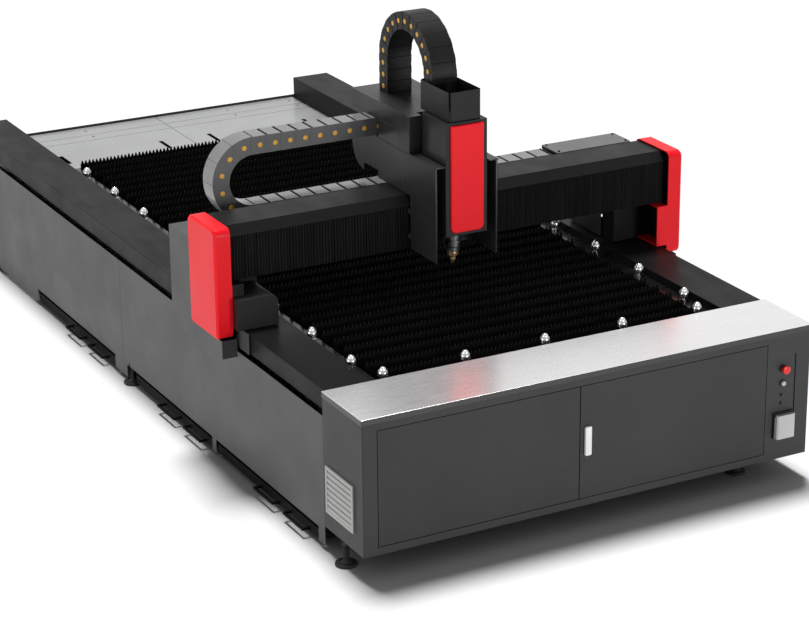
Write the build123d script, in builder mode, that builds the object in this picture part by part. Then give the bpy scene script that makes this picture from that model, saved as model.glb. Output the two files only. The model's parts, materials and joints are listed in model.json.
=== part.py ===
from build123d import *
import os
from math import cos, pi, sin

# Open-bed fiber laser cutting machine, in millimetres.
# +X is the operator's right, +Y runs from the front cabinet to the rear deck, +Z is up.
# The origin lies on the floor under the middle of the machine.

# Driving dimensions of the whole machine
cabinet_width = 2150
cabinet_depth = 346
cabinet_floor_z = 110
table_top_z = 705
bed_length = 4640
control_reach = 36
cabinet_front_y = control_reach - (bed_length + control_reach) / 2
half_width = cabinet_width / 2
sheet = 3

# Side panels and the slots that the scrap drawers slide through
panel_top_z = 596
panel_bottom_z = 22
slot_top_z = 87
panel_seam = 2493
drawer_slots = ((405, 1426), (1468, 2451), (2599, 3634))
drawer_spans = ((410, 1421), (1473, 2350), (2604, 3629))
drawer_floor_z = 25
drawer_height = 42
drawer_depth = 1005
drawer_front_x = half_width - 6

# Cutting bed
slat_half_length = 786
slat_first = 430
slat_last = 3711
slat_count = 33
slat_thickness = 4
slat_height = 110
tooth_height = 28
tooth_pitch = 78
strip_z = 666
web_x = 846
guard_inner_x = 851
guard_outer_x = 1060
guard_top_z = 703
guard_bottom_z = 614
guard_end = 4608
deck_z = 583
deck_end = 4632
side_beam_outer_x = 960
side_beam_bottom_z = 300
side_beam_top_z = 535

# Ball transfer units that the sheet rolls in on
ball_diameter = 30
ball_centre_z = 712
ball_row = 411
ball_row_pitch = 383.5
ball_column_x = 820
ball_column_first = 592
ball_column_pitch = 366
ball_column_count = 9

# Gantry
beam_front = 1240
beam_back = 1409
beam_bottom_z = 905
beam_top_z = 1140
beam_half_length = 1100
beam_wall = 8
bellows_front = 1190
cover_front = 1225
cap_outer_x = 1170
cap_inner_x = 1095
cap_step_x = 1040
cap_front = 1150
cap_back = 1430
cap_bottom_z = 661
cap_top_z = 1152
cap_wall = 7
truck_z = 599
truck_thickness = 12
housing_outer_x = 1150
housing_inner_x = 898
housing_back = 1680
housing_top_z = 1026

# Carriage and cutting unit
head_x = -71
carriage_left_x = -223
carriage_right_x = 81
carriage_front = 955
carriage_back = 1738
carriage_top_z = 1330
carriage_gap_z = 1146
mount_back = 1186
mount_front = 1168
unit_left_x = -173
unit_right_x = 29
unit_bottom_z = 1015
unit_top_z = 1521
head_centre = 1095
nozzle_tip_z = 845

# Cable chains
link_height = 80
link_wall = 12
x_chain_front = 1500
x_chain_back = 1610
x_chain_low_z = 1072
x_chain_high_z = 1378
x_chain_bend_x = -820
x_chain_end_x = -100
x_chain_fixed_x = 680
z_chain_width = 125
z_chain_front = 1186
z_chain_rear = 1602
z_chain_bend_z = 1660
z_chain_hood_z = 1525
z_chain_foot_z = 1500

os.makedirs("parts", exist_ok=True)
bore_sides = 12


def back(distance):
    """Gives the Y of a point this far behind the cabinet's front face."""
    return cabinet_front_y + distance


def block(x, y, z, mode=Mode.ADD):
    """Adds a box between the given X and Z limits and the distances y behind the cabinet front."""
    centre = ((x[0] + x[1]) / 2, back((y[0] + y[1]) / 2), (z[0] + z[1]) / 2)
    with Locations(centre):
        Box(x[1] - x[0], y[1] - y[0], z[1] - z[0], mode=mode)


def plate(x, y, z):
    """Makes one plate or bar as a solid of its own."""
    with BuildPart() as piece:
        block(x, y, z)
    return piece.part


def tube(x, y, z, wall=6):
    """Makes one closed box-section bar with walls this thick."""
    with BuildPart() as piece:
        block(x, y, z)
        inside = [(low + wall, high - wall) for low, high in (x, y, z)]
        block(*inside, Mode.SUBTRACT)
    return piece.part


def pin(plane, centre, diameter, length, sides=0):
    """Adds a pin that stands on a plane, round or with this many sides."""
    with BuildSketch(plane) as outline:
        with Locations(centre):
            if sides:
                RegularPolygon(diameter / 2, sides)
            else:
                Circle(diameter / 2)
    extrude(outline.sketch, amount=length)


def bore(plane, centre, diameter, length):
    """Cuts a plain bore whose flats lie on the diameter."""
    with BuildSketch(plane) as outline:
        with Locations(centre):
            RegularPolygon(diameter / 2, bore_sides, major_radius=False)
    extrude(outline.sketch, amount=length, mode=Mode.SUBTRACT)


def toothed_wheel(x, distance, low_z, radius, height):
    """Adds an upright pinion with straight teeth."""
    outline = []
    for tooth in range(pinion_teeth):
        for share, reach in ((0, radius - pinion_tooth_depth), (0.15, radius), (0.4, radius), (0.55, radius - pinion_tooth_depth)):
            angle = 2 * pi * (tooth + share) / pinion_teeth
            outline.append((x + reach * cos(angle), back(distance) + reach * sin(angle)))
    with BuildSketch(Plane.XY.offset(low_z)) as wheel:
        with BuildLine():
            Polyline(*outline, close=True)
        make_face()
    extrude(wheel.sketch, amount=height)


def beside(side, inner, outer):
    """Gives the X limits of something between two distances from the middle, on one side."""
    return tuple(sorted((side * inner, side * outer)))


def save(name, *pieces):
    """Labels a node and writes it. Pieces that touch stay separate solids."""
    node = pieces[0] if len(pieces) == 1 else Compound([s for p in pieces for s in p.solids()])
    node.label = name
    export_step(node, f"parts/{name}.step")


def profile_x(points, x):
    """Extrudes a closed outline of (distance behind the front, z) points between two X values."""
    with BuildPart() as piece:
        with BuildSketch(Plane.YZ.offset(x[0])):
            with BuildLine():
                Polyline(*[(back(distance), z) for distance, z in points], close=True)
            make_face()
        extrude(amount=x[1] - x[0])
    return piece.part


SIDES = (-1, 1)
SIDE_NAMES = {-1: "left", 1: "right"}

# Front cabinet: folded walls, front frame with control panel, and the brushed top plate
door_bottom_z = 145
door_top_z = 645
door_thickness = 20
door_gap = 3
left_door_x = (-1006, -77)
right_door_x = (-73, 852)
control_x = (855, half_width - sheet)
inner_half = half_width - sheet
frame_top_z = table_top_z - sheet

cabinet_walls = [
    plate((-inner_half, inner_half), (door_thickness, cabinet_depth), (110, 113)),
    plate((-inner_half, inner_half), (cabinet_depth - sheet, cabinet_depth), (113, frame_top_z)),
    plate((852, 855), (door_thickness, cabinet_depth - sheet), (113, frame_top_z)),
]
for side in SIDES:
    cabinet_walls.append(
        plate(beside(side, inner_half, half_width), (0, cabinet_depth), (cabinet_floor_z, frame_top_z))
    )
save("cabinet_shell", *cabinet_walls)

hinge_inset = 6
hinge_pin_diameter = 8
hinge_hole_diameter = 8.6
hinge_pin_length = 24
hinge_x = {"left": left_door_x[0] + hinge_inset, "right": right_door_x[1] - hinge_inset}


def hinge_pins(make, diameter, low_z, high_z):
    """Adds a pin, or cuts a bore, on each door's hinge line."""
    for x in hinge_x.values():
        make(Plane.XY.offset(low_z), (x, back(hinge_inset)), diameter, high_z - low_z)


with BuildPart() as top_rail:
    block((-inner_half, inner_half), (0, door_thickness), (door_top_z + door_gap, frame_top_z))
    hinge_pins(bore, hinge_pin_diameter, door_top_z, frame_top_z - 30)
with BuildPart() as bottom_rail:
    block((-inner_half, inner_half), (0, door_thickness), (cabinet_floor_z, door_bottom_z - door_gap))
    hinge_pins(bore, hinge_pin_diameter, cabinet_floor_z + 10, door_bottom_z)
with BuildPart() as upper_pins:
    hinge_pins(pin, hinge_pin_diameter, door_top_z - hinge_pin_length, frame_top_z - 30)
with BuildPart() as lower_pins:
    hinge_pins(pin, hinge_pin_diameter, cabinet_floor_z + 10, door_bottom_z + hinge_pin_length)
left_stile = plate((-inner_half, left_door_x[0] - door_gap), (0, door_thickness), (142, 648))
mullion = plate((-100, -50), (door_thickness + 1, door_thickness + 21), (113, frame_top_z))

stop_x = 936
stop_z = 529
start_z = 461
lamp_z = (406, 369)
lamp_diameter = 14
lamp_height = 4
button_hole_diameter = 22.6
socket_centre = (942, 270)
socket_width = 100
socket_height = 108
control_slot = (996, 1004)
with BuildPart() as control_panel:
    block(control_x, (0, door_thickness), (142, 648))
    with Locations(*[(stop_x, back(door_thickness / 2), z) for z in (stop_z, start_z)]):
        Cylinder(button_hole_diameter / 2, 2 * door_thickness, rotation=(90, 0, 0), mode=Mode.SUBTRACT)
    block(control_slot, (-1, 6), (300, 585), Mode.SUBTRACT)
save(
    "cabinet_front_frame",
    top_rail.part,
    bottom_rail.part,
    left_stile,
    mullion,
    control_panel.part,
    upper_pins.part,
    lower_pins.part,
)

plate_lip = 27
with BuildPart() as cabinet_top_plate:
    block(
        (-half_width - sheet, half_width + sheet),
        (-sheet, cabinet_depth),
        (table_top_z - plate_lip, table_top_z),
    )
    block(
        (-half_width, half_width),
        (0, cabinet_depth + 1),
        (table_top_z - plate_lip - 1, frame_top_z),
        Mode.SUBTRACT,
    )
    corners = cabinet_top_plate.edges().filter_by(Axis.Z).sort_by(Axis.Y)[:2]
    chamfer(corners, 2.5)
save("cabinet_top_plate", cabinet_top_plate.part)

# Filter grille on the cabinet's left side
grille_y = (75, 318)
grille_z = (188, 393)
grille_depth = 8
louvre_count = 7
with BuildPart() as vent_grille:
    block((-half_width - grille_depth, -half_width), grille_y, grille_z)
    block(
        (-half_width - grille_depth, -half_width - 2),
        (grille_y[0] + 14, grille_y[1] - 14),
        (grille_z[0] + 14, grille_z[1] - 14),
        Mode.SUBTRACT,
    )
    louvre_pitch = (grille_z[1] - grille_z[0] - 28) / louvre_count
    for index in range(louvre_count):
        low_z = grille_z[0] + 14 + index * louvre_pitch
        block(
            (-half_width - grille_depth + 2, -half_width - 2),
            (grille_y[0] + 14, grille_y[1] - 14),
            (low_z, low_z + louvre_pitch * 0.6),
        )
save("vent_grille", vent_grille.part)

# Cabinet doors: folded trays that turn on pins just inside their outer edges
door_sheet = 2
hinge_boss = 16
handle_x = -40
handle_pivot_z = 450
handle_z = (338, 466)
handle_width = 30
shank_diameter = 10
with BuildPart() as handle_rose:
    block((handle_x - 12, handle_x + 12), (-2, 0), (handle_pivot_z - 14, handle_pivot_z + 14))
    bore(Plane.XZ.offset(-back(1)), (handle_x, handle_pivot_z), shank_diameter + 0.6, 4)

for name, door_x in (("left", left_door_x), ("right", right_door_x)):
    with BuildPart() as door:
        block(door_x, (0, door_thickness), (door_bottom_z, door_top_z))
        block(
            (door_x[0] + door_sheet, door_x[1] - door_sheet),
            (door_sheet, door_thickness + 1),
            (door_bottom_z + door_sheet, door_top_z - door_sheet),
            Mode.SUBTRACT,
        )
        edge_x = door_x[0] if name == "left" else door_x[1] - hinge_boss
        for low_z in (door_bottom_z, door_top_z - hinge_pin_length - 2):
            block((edge_x, edge_x + hinge_boss), (0, hinge_boss), (low_z, low_z + hinge_pin_length + 2))
        hinge_pins(bore, hinge_hole_diameter, door_bottom_z - 1, door_bottom_z + hinge_pin_length + 1)
        hinge_pins(bore, hinge_hole_diameter, door_top_z - hinge_pin_length - 1, door_top_z + 1)
    fittings = [handle_rose.part] if name == "right" else []
    save(f"door_{name}", door.part, *fittings)

with BuildPart() as door_handle:
    block((handle_x - handle_width / 2, handle_x + handle_width / 2), (-14, -3), handle_z)
    chamfer(door_handle.edges().filter_by(Axis.Y), 4)
    chamfer(door_handle.faces().sort_by(Axis.Y)[0].edges(), 2)
    pin(Plane.XZ.offset(-back(-1.8)), (handle_x, handle_pivot_z), shank_diameter, 1.4)
save("door_handle", door_handle.part)

# Controls on the right of the cabinet
with BuildPart() as emergency_stop:
    with Locations((stop_x, back(-26), stop_z)):
        Cylinder(19, 14, rotation=(90, 0, 0))
    with Locations((stop_x, back(-5), stop_z)):
        Cylinder(11, 30, rotation=(90, 0, 0))
save("emergency_stop", emergency_stop.part)

with BuildPart() as start_button:
    with Locations((stop_x, back(-4), start_z)):
        Cylinder(11, 22, rotation=(90, 0, 0))
save("start_button", start_button.part)

with BuildPart() as pilot_lamps:
    for z in lamp_z:
        pin(Plane.XZ.offset(-back(0)), (stop_x - 3, z), lamp_diameter, lamp_height, sides=12)

socket_left = socket_centre[0] - socket_width / 2
socket_right = socket_centre[0] + socket_width / 2
socket_low_z = socket_centre[1] - socket_height / 2
socket_high_z = socket_centre[1] + socket_height / 2
flap_pin_diameter = 5
flap_back = -13
flap_pin_y = flap_back - 4
with BuildPart() as socket_frame:
    block((socket_left, socket_right), (-12, 0), (socket_low_z - 4, socket_high_z + 6))
flap_pin_place = (back(flap_pin_y), socket_high_z - 4)
with BuildPart() as flap_pin:
    pin(Plane.YZ.offset(socket_left + 3), flap_pin_place, flap_pin_diameter, socket_width - 6)
flap_lugs = [
    plate((x, x + 3), (flap_pin_y - 4, -12), (socket_high_z - 8, socket_high_z))
    for x in (socket_left, socket_right - 3)
]
save("panel_fittings", socket_frame.part, flap_pin.part, pilot_lamps.part, *flap_lugs)

with BuildPart() as socket_flap:
    block(
        (socket_left + 3.5, socket_right - 3.5),
        (-control_reach, flap_back),
        (socket_low_z, socket_high_z),
    )
    chamfer(socket_flap.edges().filter_by(Axis.Z).sort_by(Axis.Y)[:2], 6)
    chamfer(socket_flap.edges().filter_by(Axis.X).sort_by(Axis.Z)[-2:].sort_by(Axis.Y)[-1], 3.5)
    block(
        (socket_left + 8, socket_right - 8),
        (-control_reach + 5, flap_back + 1),
        (socket_low_z + 5, socket_high_z - 12),
        Mode.SUBTRACT,
    )
    bore(Plane.YZ.offset(socket_left), flap_pin_place, flap_pin_diameter + 0.6, socket_width)
save("socket_flap", socket_flap.part)

# Side panels, their leg skirts and the rear panel
panels = []
for side in SIDES:
    panel_x = beside(side, half_width - sheet, half_width)
    panels.append(plate(panel_x, (cabinet_depth, panel_seam - 1), (slot_top_z, panel_top_z)))
    panels.append(plate(panel_x, (panel_seam + 1, bed_length), (slot_top_z, panel_top_z)))
panels.append(plate((-inner_half, inner_half), (bed_length - sheet, bed_length), (slot_top_z, panel_top_z)))

skirt_spans = (
    (cabinet_depth, drawer_slots[0][0]),
    (drawer_slots[0][1], drawer_slots[1][0]),
    (drawer_slots[1][1], panel_seam - 1),
    (panel_seam + 1, drawer_slots[2][0]),
    (drawer_slots[2][1], bed_length),
)
for side in SIDES:
    for span in skirt_spans:
        panels.append(plate(beside(side, half_width - sheet, half_width), span, (panel_bottom_z, slot_top_z)))
panels.append(plate((-inner_half, inner_half), (bed_length - sheet, bed_length), (panel_bottom_z, slot_top_z)))
save("bed_panels", *panels)

# Welded bed frame
runner_side_gap = 5
post_spans = (
    (356, drawer_slots[0][0]),
    (drawer_slots[0][1], drawer_slots[1][0]),
    (drawer_spans[1][1] + runner_side_gap, drawer_slots[2][0]),
    (drawer_slots[2][1], 3720),
    (4240, 4350),
)
cross_spans = post_spans[1:]
carrier_bars = (450, 1100, 1750, 2400, 3050, 3650)
carrier_width = 40
carrier_bottom_z = 495
slat_bottom_z = table_top_z - slat_height
frame = []
for side in SIDES:
    beam_x = beside(side, guard_inner_x, side_beam_outer_x)
    frame.append(tube(beam_x, (356, guard_end - 8), (side_beam_bottom_z, side_beam_top_z), 10))
    for span in post_spans:
        frame.append(tube(beside(side, guard_inner_x, inner_half), span, (cabinet_floor_z, side_beam_bottom_z)))
    for inner, outer in ((252, 272), (766, 786)):
        frame.append(
            plate(beside(side, inner, outer), (slat_first, slat_last), (side_beam_top_z, slat_bottom_z))
        )
for span in cross_spans:
    frame.append(tube((-guard_inner_x, guard_inner_x), span, (cabinet_floor_z, cabinet_floor_z + 90)))
for start in carrier_bars:
    frame.append(
        tube((-web_x, web_x), (start, start + carrier_width), (carrier_bottom_z, side_beam_top_z), 4)
    )
for start in (3760, deck_end - 62):
    frame.append(
        tube((-guard_inner_x, guard_inner_x), (start, start + 30), (carrier_bottom_z, deck_z - sheet), 4)
    )
runner_ledge = 18
runner_x = (drawer_front_x - drawer_depth + 6, drawer_front_x - 19)
runner_top_z = 150
drawer_gap = 0.3
ledge_top_z = drawer_floor_z - drawer_gap
for side in SIDES:
    for first, last in drawer_spans:
        for edge, way in ((first - runner_side_gap, 1), (last + runner_side_gap, -1)):
            upright = tuple(sorted((edge, edge + way * sheet)))
            ledge = tuple(sorted((edge, edge + way * runner_ledge)))
            frame.append(plate(beside(side, *runner_x), upright, (ledge_top_z, runner_top_z)))
            frame.append(plate(beside(side, *runner_x), ledge, (ledge_top_z - 4, ledge_top_z)))
save("bed_frame", *frame)

# Levelling feet, each a pad and a threaded stem
foot_places = (
    (-1058, 190),
    (831, 170),
    (-1058, 2420),
    (1058, 2420),
    (-1058, 4295),
    (1058, 4295),
)
pad_diameter = 93
pad_thickness = 14
stem_diameter = 24
with BuildPart() as levelling_feet:
    for x, distance in foot_places:
        pin(Plane.XY, (x, back(distance)), pad_diameter, pad_thickness, sides=24)
        stem_length = cabinet_floor_z - pad_thickness
        pin(Plane.XY.offset(pad_thickness), (x, back(distance)), stem_diameter, stem_length, sides=8)
save("levelling_feet", levelling_feet.part)

# Saw-toothed slats that the sheet lies on
tooth_count = int(2 * slat_half_length / tooth_pitch)
tooth_run = 2 * slat_half_length / tooth_count
slat_pitch = (slat_last - slat_first - slat_thickness) / (slat_count - 1)
with BuildPart() as slats:
    with BuildSketch(Plane.XZ.offset(-back(slat_first))):
        with BuildLine():
            tips = []
            for tooth in range(tooth_count):
                start_x = -slat_half_length + tooth * tooth_run
                tips.append((start_x, table_top_z - tooth_height))
                tips.append((start_x + tooth_run / 2, table_top_z))
            tips.append((slat_half_length, table_top_z - tooth_height))
            Polyline(
                (-slat_half_length, slat_bottom_z),
                *tips,
                (slat_half_length, slat_bottom_z),
                close=True,
            )
        make_face()
    extrude(amount=-slat_thickness)
    one_slat = slats.part
with BuildPart() as slat_set:
    with Locations(*[(0, index * slat_pitch, 0) for index in range(slat_count)]):
        add(one_slat)
save("slats", slat_set.part)

# Ledges beside and before the slats, with the walls that line the bed
web_bottom_z = 210
strips = []
for side in SIDES:
    strips.append(plate(beside(side, web_x, guard_inner_x), (349, slat_last), (web_bottom_z, strip_z - sheet)))
    strips.append(plate(beside(side, 788, guard_inner_x), (349, slat_last), (strip_z - sheet, strip_z)))
strips.append(plate((-788, 788), (349, slat_first - 2), (strip_z - sheet, strip_z)))
strips.append(plate((-web_x, web_x), (349, 354), (web_bottom_z, strip_z - sheet)))
save("ball_ledges", *strips)

ball_places = [(step * ball_row_pitch, ball_row) for step in range(-2, 3)]
for side in SIDES:
    for index in range(ball_column_count):
        ball_places.append((side * ball_column_x, ball_column_first + index * ball_column_pitch))
cup_diameter = 36
cup_bottom_z = 688
neck_diameter = 18
dome_tiers = ((8, 16), (5.5, 48))
with BuildPart() as ball_units:
    for x, distance in ball_places:
        centre = (x, back(distance))
        pin(Plane.XY.offset(strip_z), centre, neck_diameter, cup_bottom_z - strip_z, sides=6)
        pin(Plane.XY.offset(cup_bottom_z), centre, cup_diameter, ball_centre_z - cup_bottom_z, sides=8)
        with BuildSketch(Plane.XY.offset(ball_centre_z)):
            with Locations(centre):
                RegularPolygon(ball_diameter / 2, 8)
        for tier_height, slope in dome_tiers:
            extrude(ball_units.faces().sort_by(Axis.Z)[-1], amount=tier_height, taper=slope)
save("ball_units", ball_units.part)

# Folded guards over the gantry rails
guards = []
for side in SIDES:
    guards.append(plate(beside(side, guard_inner_x, guard_outer_x), (349, guard_end), (700, guard_top_z)))
    guards.append(plate(beside(side, guard_outer_x - sheet, guard_outer_x), (349, guard_end), (guard_bottom_z, 700)))
    guards.append(plate(beside(side, guard_inner_x, guard_inner_x + sheet), (349, guard_end), (deck_z, 700)))
    guards.append(
        plate(
            beside(side, guard_inner_x + sheet, guard_outer_x - sheet),
            (guard_end - sheet, guard_end),
            (guard_bottom_z, 700),
        )
    )
save("rail_guards", *guards)

# Rails and racks that the gantry runs on
rail_x = 915
rail_width = 30
rail_height = 30
rack_inner_x = side_beam_outer_x
rack_width = 25
rack_z = (500, 530)
ways = []
for side in SIDES:
    ways.append(
        plate(
            beside(side, rail_x - rail_width / 2, rail_x + rail_width / 2),
            (380, 4400),
            (side_beam_top_z, side_beam_top_z + rail_height),
        )
    )
    ways.append(plate(beside(side, rack_inner_x, rack_inner_x + rack_width), (380, 4400), rack_z))
save("bed_rails", *ways)

# Rear deck with its four oblong slots, and the step down to it
deck_slot_y = 4128
deck_slot_x = (-708, -140, 140, 708)
deck_slot_length = 70
deck_slot_width = 18
with BuildPart() as rear_deck:
    block((-guard_inner_x, guard_inner_x), (slat_last + sheet, deck_end), (deck_z - sheet, deck_z))
    with BuildSketch(Plane.XY.offset(deck_z)) as deck_slots:
        with Locations(*[(x, back(deck_slot_y)) for x in deck_slot_x]):
            Rectangle(deck_slot_length, deck_slot_width)
        chamfer(deck_slots.vertices(), deck_slot_width / 3)
    extrude(amount=-sheet, mode=Mode.SUBTRACT)
deck_step = plate((-guard_inner_x, guard_inner_x), (slat_last, slat_last + sheet), (deck_z - sheet, strip_z))
save("rear_deck", rear_deck.part, deck_step)

# Scrap drawers, each a folded tray with two pulls
drawer_sheet = 2
pull_offsets = (-325, -35)
pull_length = 190
pull_reach = 38
pull_bar = 10
pull_z = (34, 44)
drawer_names = ("front", "middle", "rear")
for side in SIDES:
    for name, (first, last) in zip(drawer_names, drawer_spans):
        low_z = drawer_floor_z
        top_z = drawer_floor_z + drawer_height
        inner_x = drawer_front_x - drawer_depth
        walls = [
            plate(beside(side, inner_x, drawer_front_x - sheet), (first, last), (low_z, low_z + drawer_sheet)),
            plate(beside(side, drawer_front_x - sheet, drawer_front_x), (first, last), (low_z, top_z)),
            plate(
                beside(side, inner_x, inner_x + drawer_sheet),
                (first, last),
                (low_z + drawer_sheet, top_z),
            ),
        ]
        for edge in (first, last - drawer_sheet):
            walls.append(
                plate(
                    beside(side, inner_x + drawer_sheet, drawer_front_x - sheet),
                    (edge, edge + drawer_sheet),
                    (low_z + drawer_sheet, top_z),
                )
            )
        slot = drawer_slots[drawer_names.index(name)]
        for offset in pull_offsets:
            centre = (slot[0] + slot[1]) / 2 + offset
            ends = (centre - pull_length / 2, centre + pull_length / 2)
            bar_x = drawer_front_x + pull_reach
            walls.append(plate(beside(side, bar_x - pull_bar, bar_x), ends, pull_z))
            for start in (ends[0], ends[1] - pull_bar):
                walls.append(
                    plate(
                        beside(side, drawer_front_x, bar_x - pull_bar),
                        (start, start + pull_bar),
                        pull_z,
                    )
                )
        save(f"drawer_{SIDE_NAMES[side]}_{name}", *walls)

# Gantry beam, a box section, and its folded top cover
with BuildPart() as beam:
    block((-beam_half_length, beam_half_length), (beam_front, beam_back), (beam_bottom_z, beam_top_z))
    block(
        (-beam_half_length - 1, beam_half_length + 1),
        (beam_front + beam_wall, beam_back - beam_wall),
        (beam_bottom_z + beam_wall, beam_top_z - beam_wall),
        Mode.SUBTRACT,
    )
save("gantry_beam", beam.part)

chamfer_z = 1100
beam_cover = profile_x(
    (
        (beam_back, beam_top_z),
        (beam_back, beam_top_z + sheet),
        (cover_front, beam_top_z + sheet),
        (bellows_front, chamfer_z),
        (bellows_front + 4, chamfer_z),
        (cover_front + 2, beam_top_z),
    ),
    (-cap_inner_x, cap_inner_x),
)
save("beam_cover", beam_cover)

# Rails and rack on the beam
beam_rail_z = (955, 1065)
beam_rail_half = 12
beam_rail_depth = 22
beam_rack_depth = 12
beam_rack_z = (1105, 1135)
beam_ways = []
for z in beam_rail_z:
    beam_ways.append(
        plate((-1090, 1090), (beam_front - beam_rail_depth, beam_front), (z - beam_rail_half, z + beam_rail_half))
    )
beam_ways.append(plate((-1090, 1090), (beam_back, beam_back + beam_rack_depth), beam_rack_z))
save("beam_rails", *beam_ways)

# Pleated covers over the beam rails, one each side of the carriage
pleat_count = 36
pleat_depth = 12
bellows_back = 1210
bellows_gap = 0.3
for side_name, start_x, end_x in (
    ("left", -cap_inner_x + bellows_gap, carriage_left_x - bellows_gap),
    ("right", carriage_right_x + bellows_gap, cap_inner_x - bellows_gap),
):
    pleat_run = (end_x - start_x) / pleat_count
    with BuildPart() as bellows:
        with BuildSketch(Plane.XY.offset(beam_bottom_z)):
            with BuildLine():
                folds = []
                for pleat in range(pleat_count):
                    fold_x = start_x + pleat * pleat_run
                    folds.append((fold_x, back(bellows_front + pleat_depth)))
                    folds.append((fold_x + pleat_run / 2, back(bellows_front)))
                folds.append((end_x, back(bellows_front + pleat_depth)))
                Polyline(*folds, (end_x, back(bellows_back)), (start_x, back(bellows_back)), close=True)
            make_face()
        extrude(amount=chamfer_z - beam_bottom_z - bellows_gap)
    save(f"bellows_{side_name}", bellows.part)

# Columns and gussets that carry the beam, on plates that reach the guide blocks under the guards
column_x = (1100, 1130)
column_y = (1200, 1400)
truck_y = (1160, 1620)
saddle_y = (1309, 1409)
saddle_z = (707, beam_bottom_z)
spacer_y = (1288, 1312)
spacer_z = ((748, 772), (1048, 1072))
columns = []
for side in SIDES:
    columns.append(
        plate(beside(side, 872, housing_outer_x - sheet), truck_y, (truck_z, truck_z + truck_thickness))
    )
    for z in spacer_z:
        columns.append(plate(beside(side, column_x[1], cap_outer_x - cap_wall), spacer_y, z))
    columns.append(plate(beside(side, *column_x), column_y, (truck_z + truck_thickness, beam_top_z)))
    columns.append(plate(beside(side, 905, column_x[0]), saddle_y, saddle_z))
save("gantry_columns", *columns)

block_length = 120
block_starts = (1165, 1490)
block_half_width = 44
rail_clearance = 0.5
guide_blocks = []
for side in SIDES:
    for start in block_starts:
        with BuildPart() as guide_block:
            block(
                beside(side, rail_x - block_half_width, rail_x + block_half_width),
                (start, start + block_length),
                (side_beam_top_z + 6, truck_z),
            )
            half_slot = rail_width / 2 + rail_clearance
            block(
                beside(side, rail_x - half_slot, rail_x + half_slot),
                (start - 1, start + block_length + 1),
                (side_beam_top_z, side_beam_top_z + rail_height + rail_clearance),
                Mode.SUBTRACT,
            )
        guide_blocks.append(guide_block.part)
save("gantry_guide_blocks", *guide_blocks)

# Gantry drive motors with their pinions
pinion_radius = 30
pinion_gap = 0.3
pinion_teeth = 12
pinion_tooth_depth = 6
shaft_diameter = 16
shaft_play = 0.6
pinion_x = rack_inner_x + rack_width + pinion_radius + pinion_gap
pinion_y = 1355
motor_half = 44
motor_bottom_z = 540
pinion_z = (501, 529)
pinion_shaft_top_z = 585
with BuildPart() as gantry_motors:
    for side in SIDES:
        centre = (side * pinion_x, back(pinion_y))
        block(
            beside(side, pinion_x - motor_half, pinion_x + motor_half),
            (pinion_y - motor_half, pinion_y + motor_half),
            (motor_bottom_z, truck_z),
        )
        bore_length = truck_z - motor_bottom_z
        bore(Plane.XY.offset(motor_bottom_z), centre, shaft_diameter + shaft_play, bore_length)
save("gantry_motors", gantry_motors.part)
for side in SIDES:
    with BuildPart() as pinion:
        toothed_wheel(side * pinion_x, pinion_y, pinion_z[0], pinion_radius, pinion_z[1] - pinion_z[0])
        centre = (side * pinion_x, back(pinion_y))
        pin(Plane.XY.offset(pinion_z[1]), centre, shaft_diameter, pinion_shaft_top_z - pinion_z[1])
    save(f"gantry_pinion_{SIDE_NAMES[side]}", pinion.part)

# Red end caps: rounded shells, open towards the beam
cap_corner = 30
caps = []
for side in SIDES:
    with BuildPart() as cap:
        with BuildSketch(Plane.YZ.offset(side * cap_inner_x)):
            with Locations((back((cap_front + cap_back) / 2), (cap_bottom_z + cap_top_z) / 2)):
                RectangleRounded(cap_back - cap_front, cap_top_z - cap_bottom_z, cap_corner)
        extrude(amount=side * (cap_outer_x - cap_inner_x))
        outer_face = cap.faces().sort_by(Axis.X)[0 if side < 0 else -1]
        chamfer(outer_face.edges(), 9)
        block(beside(side, cap_step_x, cap_inner_x), (cap_front, cap_back), (708, beam_bottom_z - 6))
        with BuildSketch(Plane.YZ.offset(side * (cap_inner_x - 1))) as cap_inside:
            with Locations((back((cap_front + cap_back) / 2), (cap_bottom_z + cap_top_z) / 2)):
                Rectangle(cap_back - cap_front - 2 * cap_wall, cap_top_z - cap_bottom_z - 2 * cap_wall)
            chamfer(cap_inside.vertices(), 12)
        extrude(amount=side * (cap_outer_x - cap_inner_x + 1 - cap_wall), mode=Mode.SUBTRACT)
        block(
            beside(side, cap_step_x - 1, cap_inner_x),
            (cap_front + cap_wall, cap_back - cap_wall),
            (708 + cap_wall, beam_bottom_z - 6 - cap_wall),
            Mode.SUBTRACT,
        )
        block(
            beside(side, column_x[0] - 5, column_x[1] + 5),
            (column_y[0] - 5, column_y[1] + 5),
            (cap_bottom_z - 1, cap_bottom_z + cap_wall + 1),
            Mode.SUBTRACT,
        )
        block(
            beside(side, cap_step_x - 1, cap_inner_x - 1),
            (saddle_y[0] - 3, saddle_y[1] + 3),
            (cap_bottom_z, beam_bottom_z),
            Mode.SUBTRACT,
        )
    caps.append(cap.part)
save("end_caps", *caps)

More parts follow.
